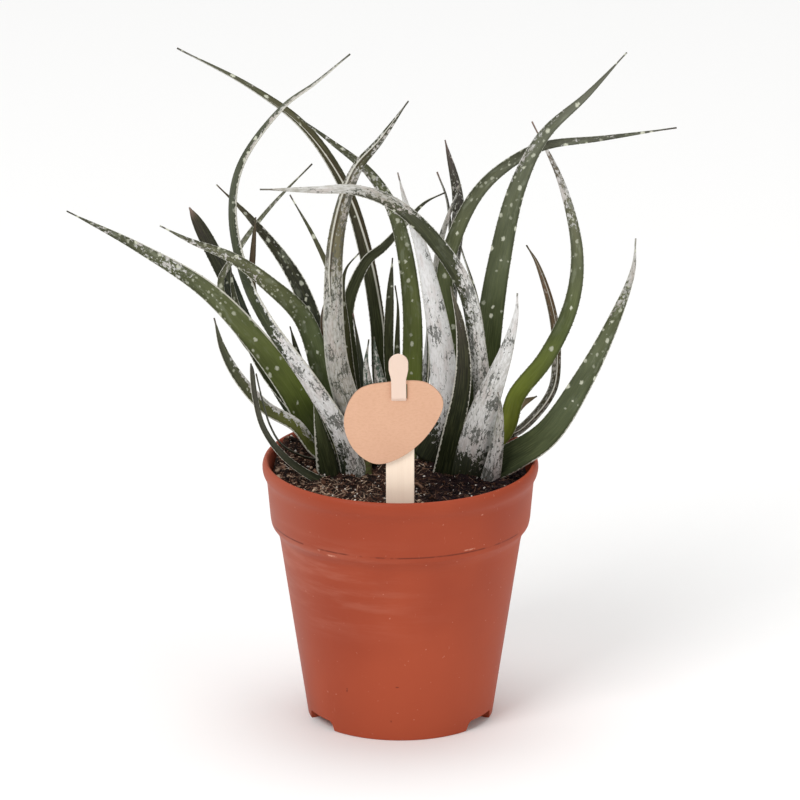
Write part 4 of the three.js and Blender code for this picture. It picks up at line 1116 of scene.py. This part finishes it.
def tagPiece(material):
    make = tagMake
    sheet = bpy.data.curves.new("tagSheet", "CURVE")
    sheet.dimensions, sheet.fill_mode = "2D", "BOTH"
    sheet.extrude = (make["thickness"] / 2 - make["edge"]) * mm
    sheet.bevel_depth, sheet.bevel_resolution = make["edge"] * mm, 2
    sheet.offset = -make["edge"] * mm
    loop = [np.array(corner, float) for corner in make["corners"]]
    rim = []
    for i in range(len(loop)):
        rim += curveBetween(*(loop[(i + step) % len(loop)] for step in (-1, 0, 1, 2)), make["steps"])
    for outline in (rim, make["slot"]):
        line = sheet.splines.new("POLY")
        line.points.add(len(outline) - 1)
        for point, (x, z) in zip(line.points, outline):
            point.co = (x * mm, z * mm, 0, 1)
        line.use_cyclic_u = True
    former = addObject("tagFormer", sheet)
    bpy.context.view_layer.update()
    shell = bmesh.new()
    shell.from_mesh(settledMesh(former))
    bpy.data.objects.remove(former)
    bmesh.ops.remove_doubles(shell, verts=shell.verts, dist=0.00001)
    middle = make["front"] + make["thickness"] / 2
    points = [(v.co.x / mm, middle - v.co.z / mm, v.co.y / mm) for v in shell.verts]
    faces = [tuple(v.index for v in f.verts) for f in shell.faces]
    shell.free()
    meshPiece("labelTag", points, faces, material, "label_tag", make["sharp"])


cardLook = {
    "kraft": colour(221, 176, 147),
    "fibre": colour(208, 160, 131),
    "cut": colour(132, 88, 66),
}


def cardMaterial():
    skin = Skin("kraftBoard", cardLook, "kraft")
    place = skin.place()
    grain = skin.noise(place, (700, 700, 1500), 4, 0.65)
    skin.coat(skin.step(grain, 0.4, 0.68, 0, 0.5), "fibre")
    skin.coat(skin.step(skin.noise(place, 60), 0.35, 0.7, 0, 0.25), "fibre")
    # the cut edge is darker, partly the board's own cut colour and partly painted shade, most of all where
    # it faces down or to the right, away from the key lamp
    turnX, turnY, turnZ = skin.parts(skin.node("NewGeometry")["Normal"])
    onEdge = skin.step(skin.maths("ABSOLUTE", turnY), 0.97, 0.6)
    below = skin.step(skin.maths("MULTIPLY_ADD", turnX, 0.5, skin.times(turnZ, -1)), 0, 0.5)
    skin.coat(skin.times(onEdge, skin.step(below, 0, 1, 0.3, 1)), "cut")
    skin.bump(grain, 0.2, 0.00015)
    return skin.finish(skin.step(grain, 0.3, 0.7, 0.74, 0.88), 0.2)


tagPiece(cardMaterial())
print("stick and tag made")

stageMake = {
    "floorSize": 60.0,
    "floor": (0.96, 0.96, 0.955, 1),
    "world": (1.0, 1.0, 1.0, 1),
    "worldStrength": 0.5,
    "aimHeight": 0.13,  # where the lamps point
    "lamps": {  # place in metres from the pot's axis, side of the soft box, watts
        "keyLamp": {"place": (-1.1, -1.6, 1.9), "side": 1.1, "power": 31, "tint": (1, 1, 1)},
        "fillLamp": {"place": (1.7, -1.5, 0.9), "side": 1.4, "power": 8.5, "tint": (1, 0.95, 0.9)},
        "topLamp": {"place": (0.1, 0.5, 2.4), "side": 1.6, "power": 22, "tint": (1, 1, 1)},
    },
}


def floorPiece():
    half = stageMake["floorSize"] / 2
    mesh = bpy.data.meshes.new("paleFloor")
    corners = [(-half, -half, 0), (half, -half, 0), (half, half, 0), (-half, half, 0)]
    mesh.from_pydata(corners, [], [(0, 1, 2, 3)])
    mesh.materials.append(Skin("palePaper", stageMake, "floor").finish(0.9, 0.1))
    floor = addObject("paleFloor", mesh)


floorPiece()
world = bpy.data.worlds.new("studioAir")
world.use_nodes = True
air = world.node_tree.nodes["Background"].inputs
air["Color"].default_value, air["Strength"].default_value = stageMake["world"], stageMake["worldStrength"]
bpy.context.scene.world = world

for name, lamp in stageMake["lamps"].items():
    light = bpy.data.lights.new(name, "AREA")
    light.shape, light.size, light.energy = "SQUARE", lamp["side"], lamp["power"]
    light.color = lamp["tint"]
    holder = addObject(name, light)
    holder.location = potMiddle + Vector(lamp["place"])
    aim = Vector((0, 0, stageMake["aimHeight"])) - Vector(lamp["place"])
    holder.rotation_euler = aim.to_track_quat("-Z", "Y").to_euler()

cameraMake = {"distance": 9.0, "aimHeight": 0.125, "lens": 1066.05, "shiftX": -0.0005}
camera = bpy.data.cameras.new("photoCamera")
camera.sensor_width, camera.lens = 36, cameraMake["lens"]
camera.shift_x = cameraMake["shiftX"]
camera.clip_end = 60
cameraHolder = addObject("photoCamera", camera)
away, rise = (cameraMake["distance"] * part for part in (math.cos(sightTilt), math.sin(sightTilt)))
cameraHolder.location = potMiddle + Vector((0, -away, cameraMake["aimHeight"] + rise))
cameraHolder.rotation_euler = (math.pi / 2 - sightTilt, 0, 0)
bpy.context.scene.camera = cameraHolder
bpy.context.scene.view_settings.view_transform = "Standard"
bpy.context.scene.view_settings.look = "None"
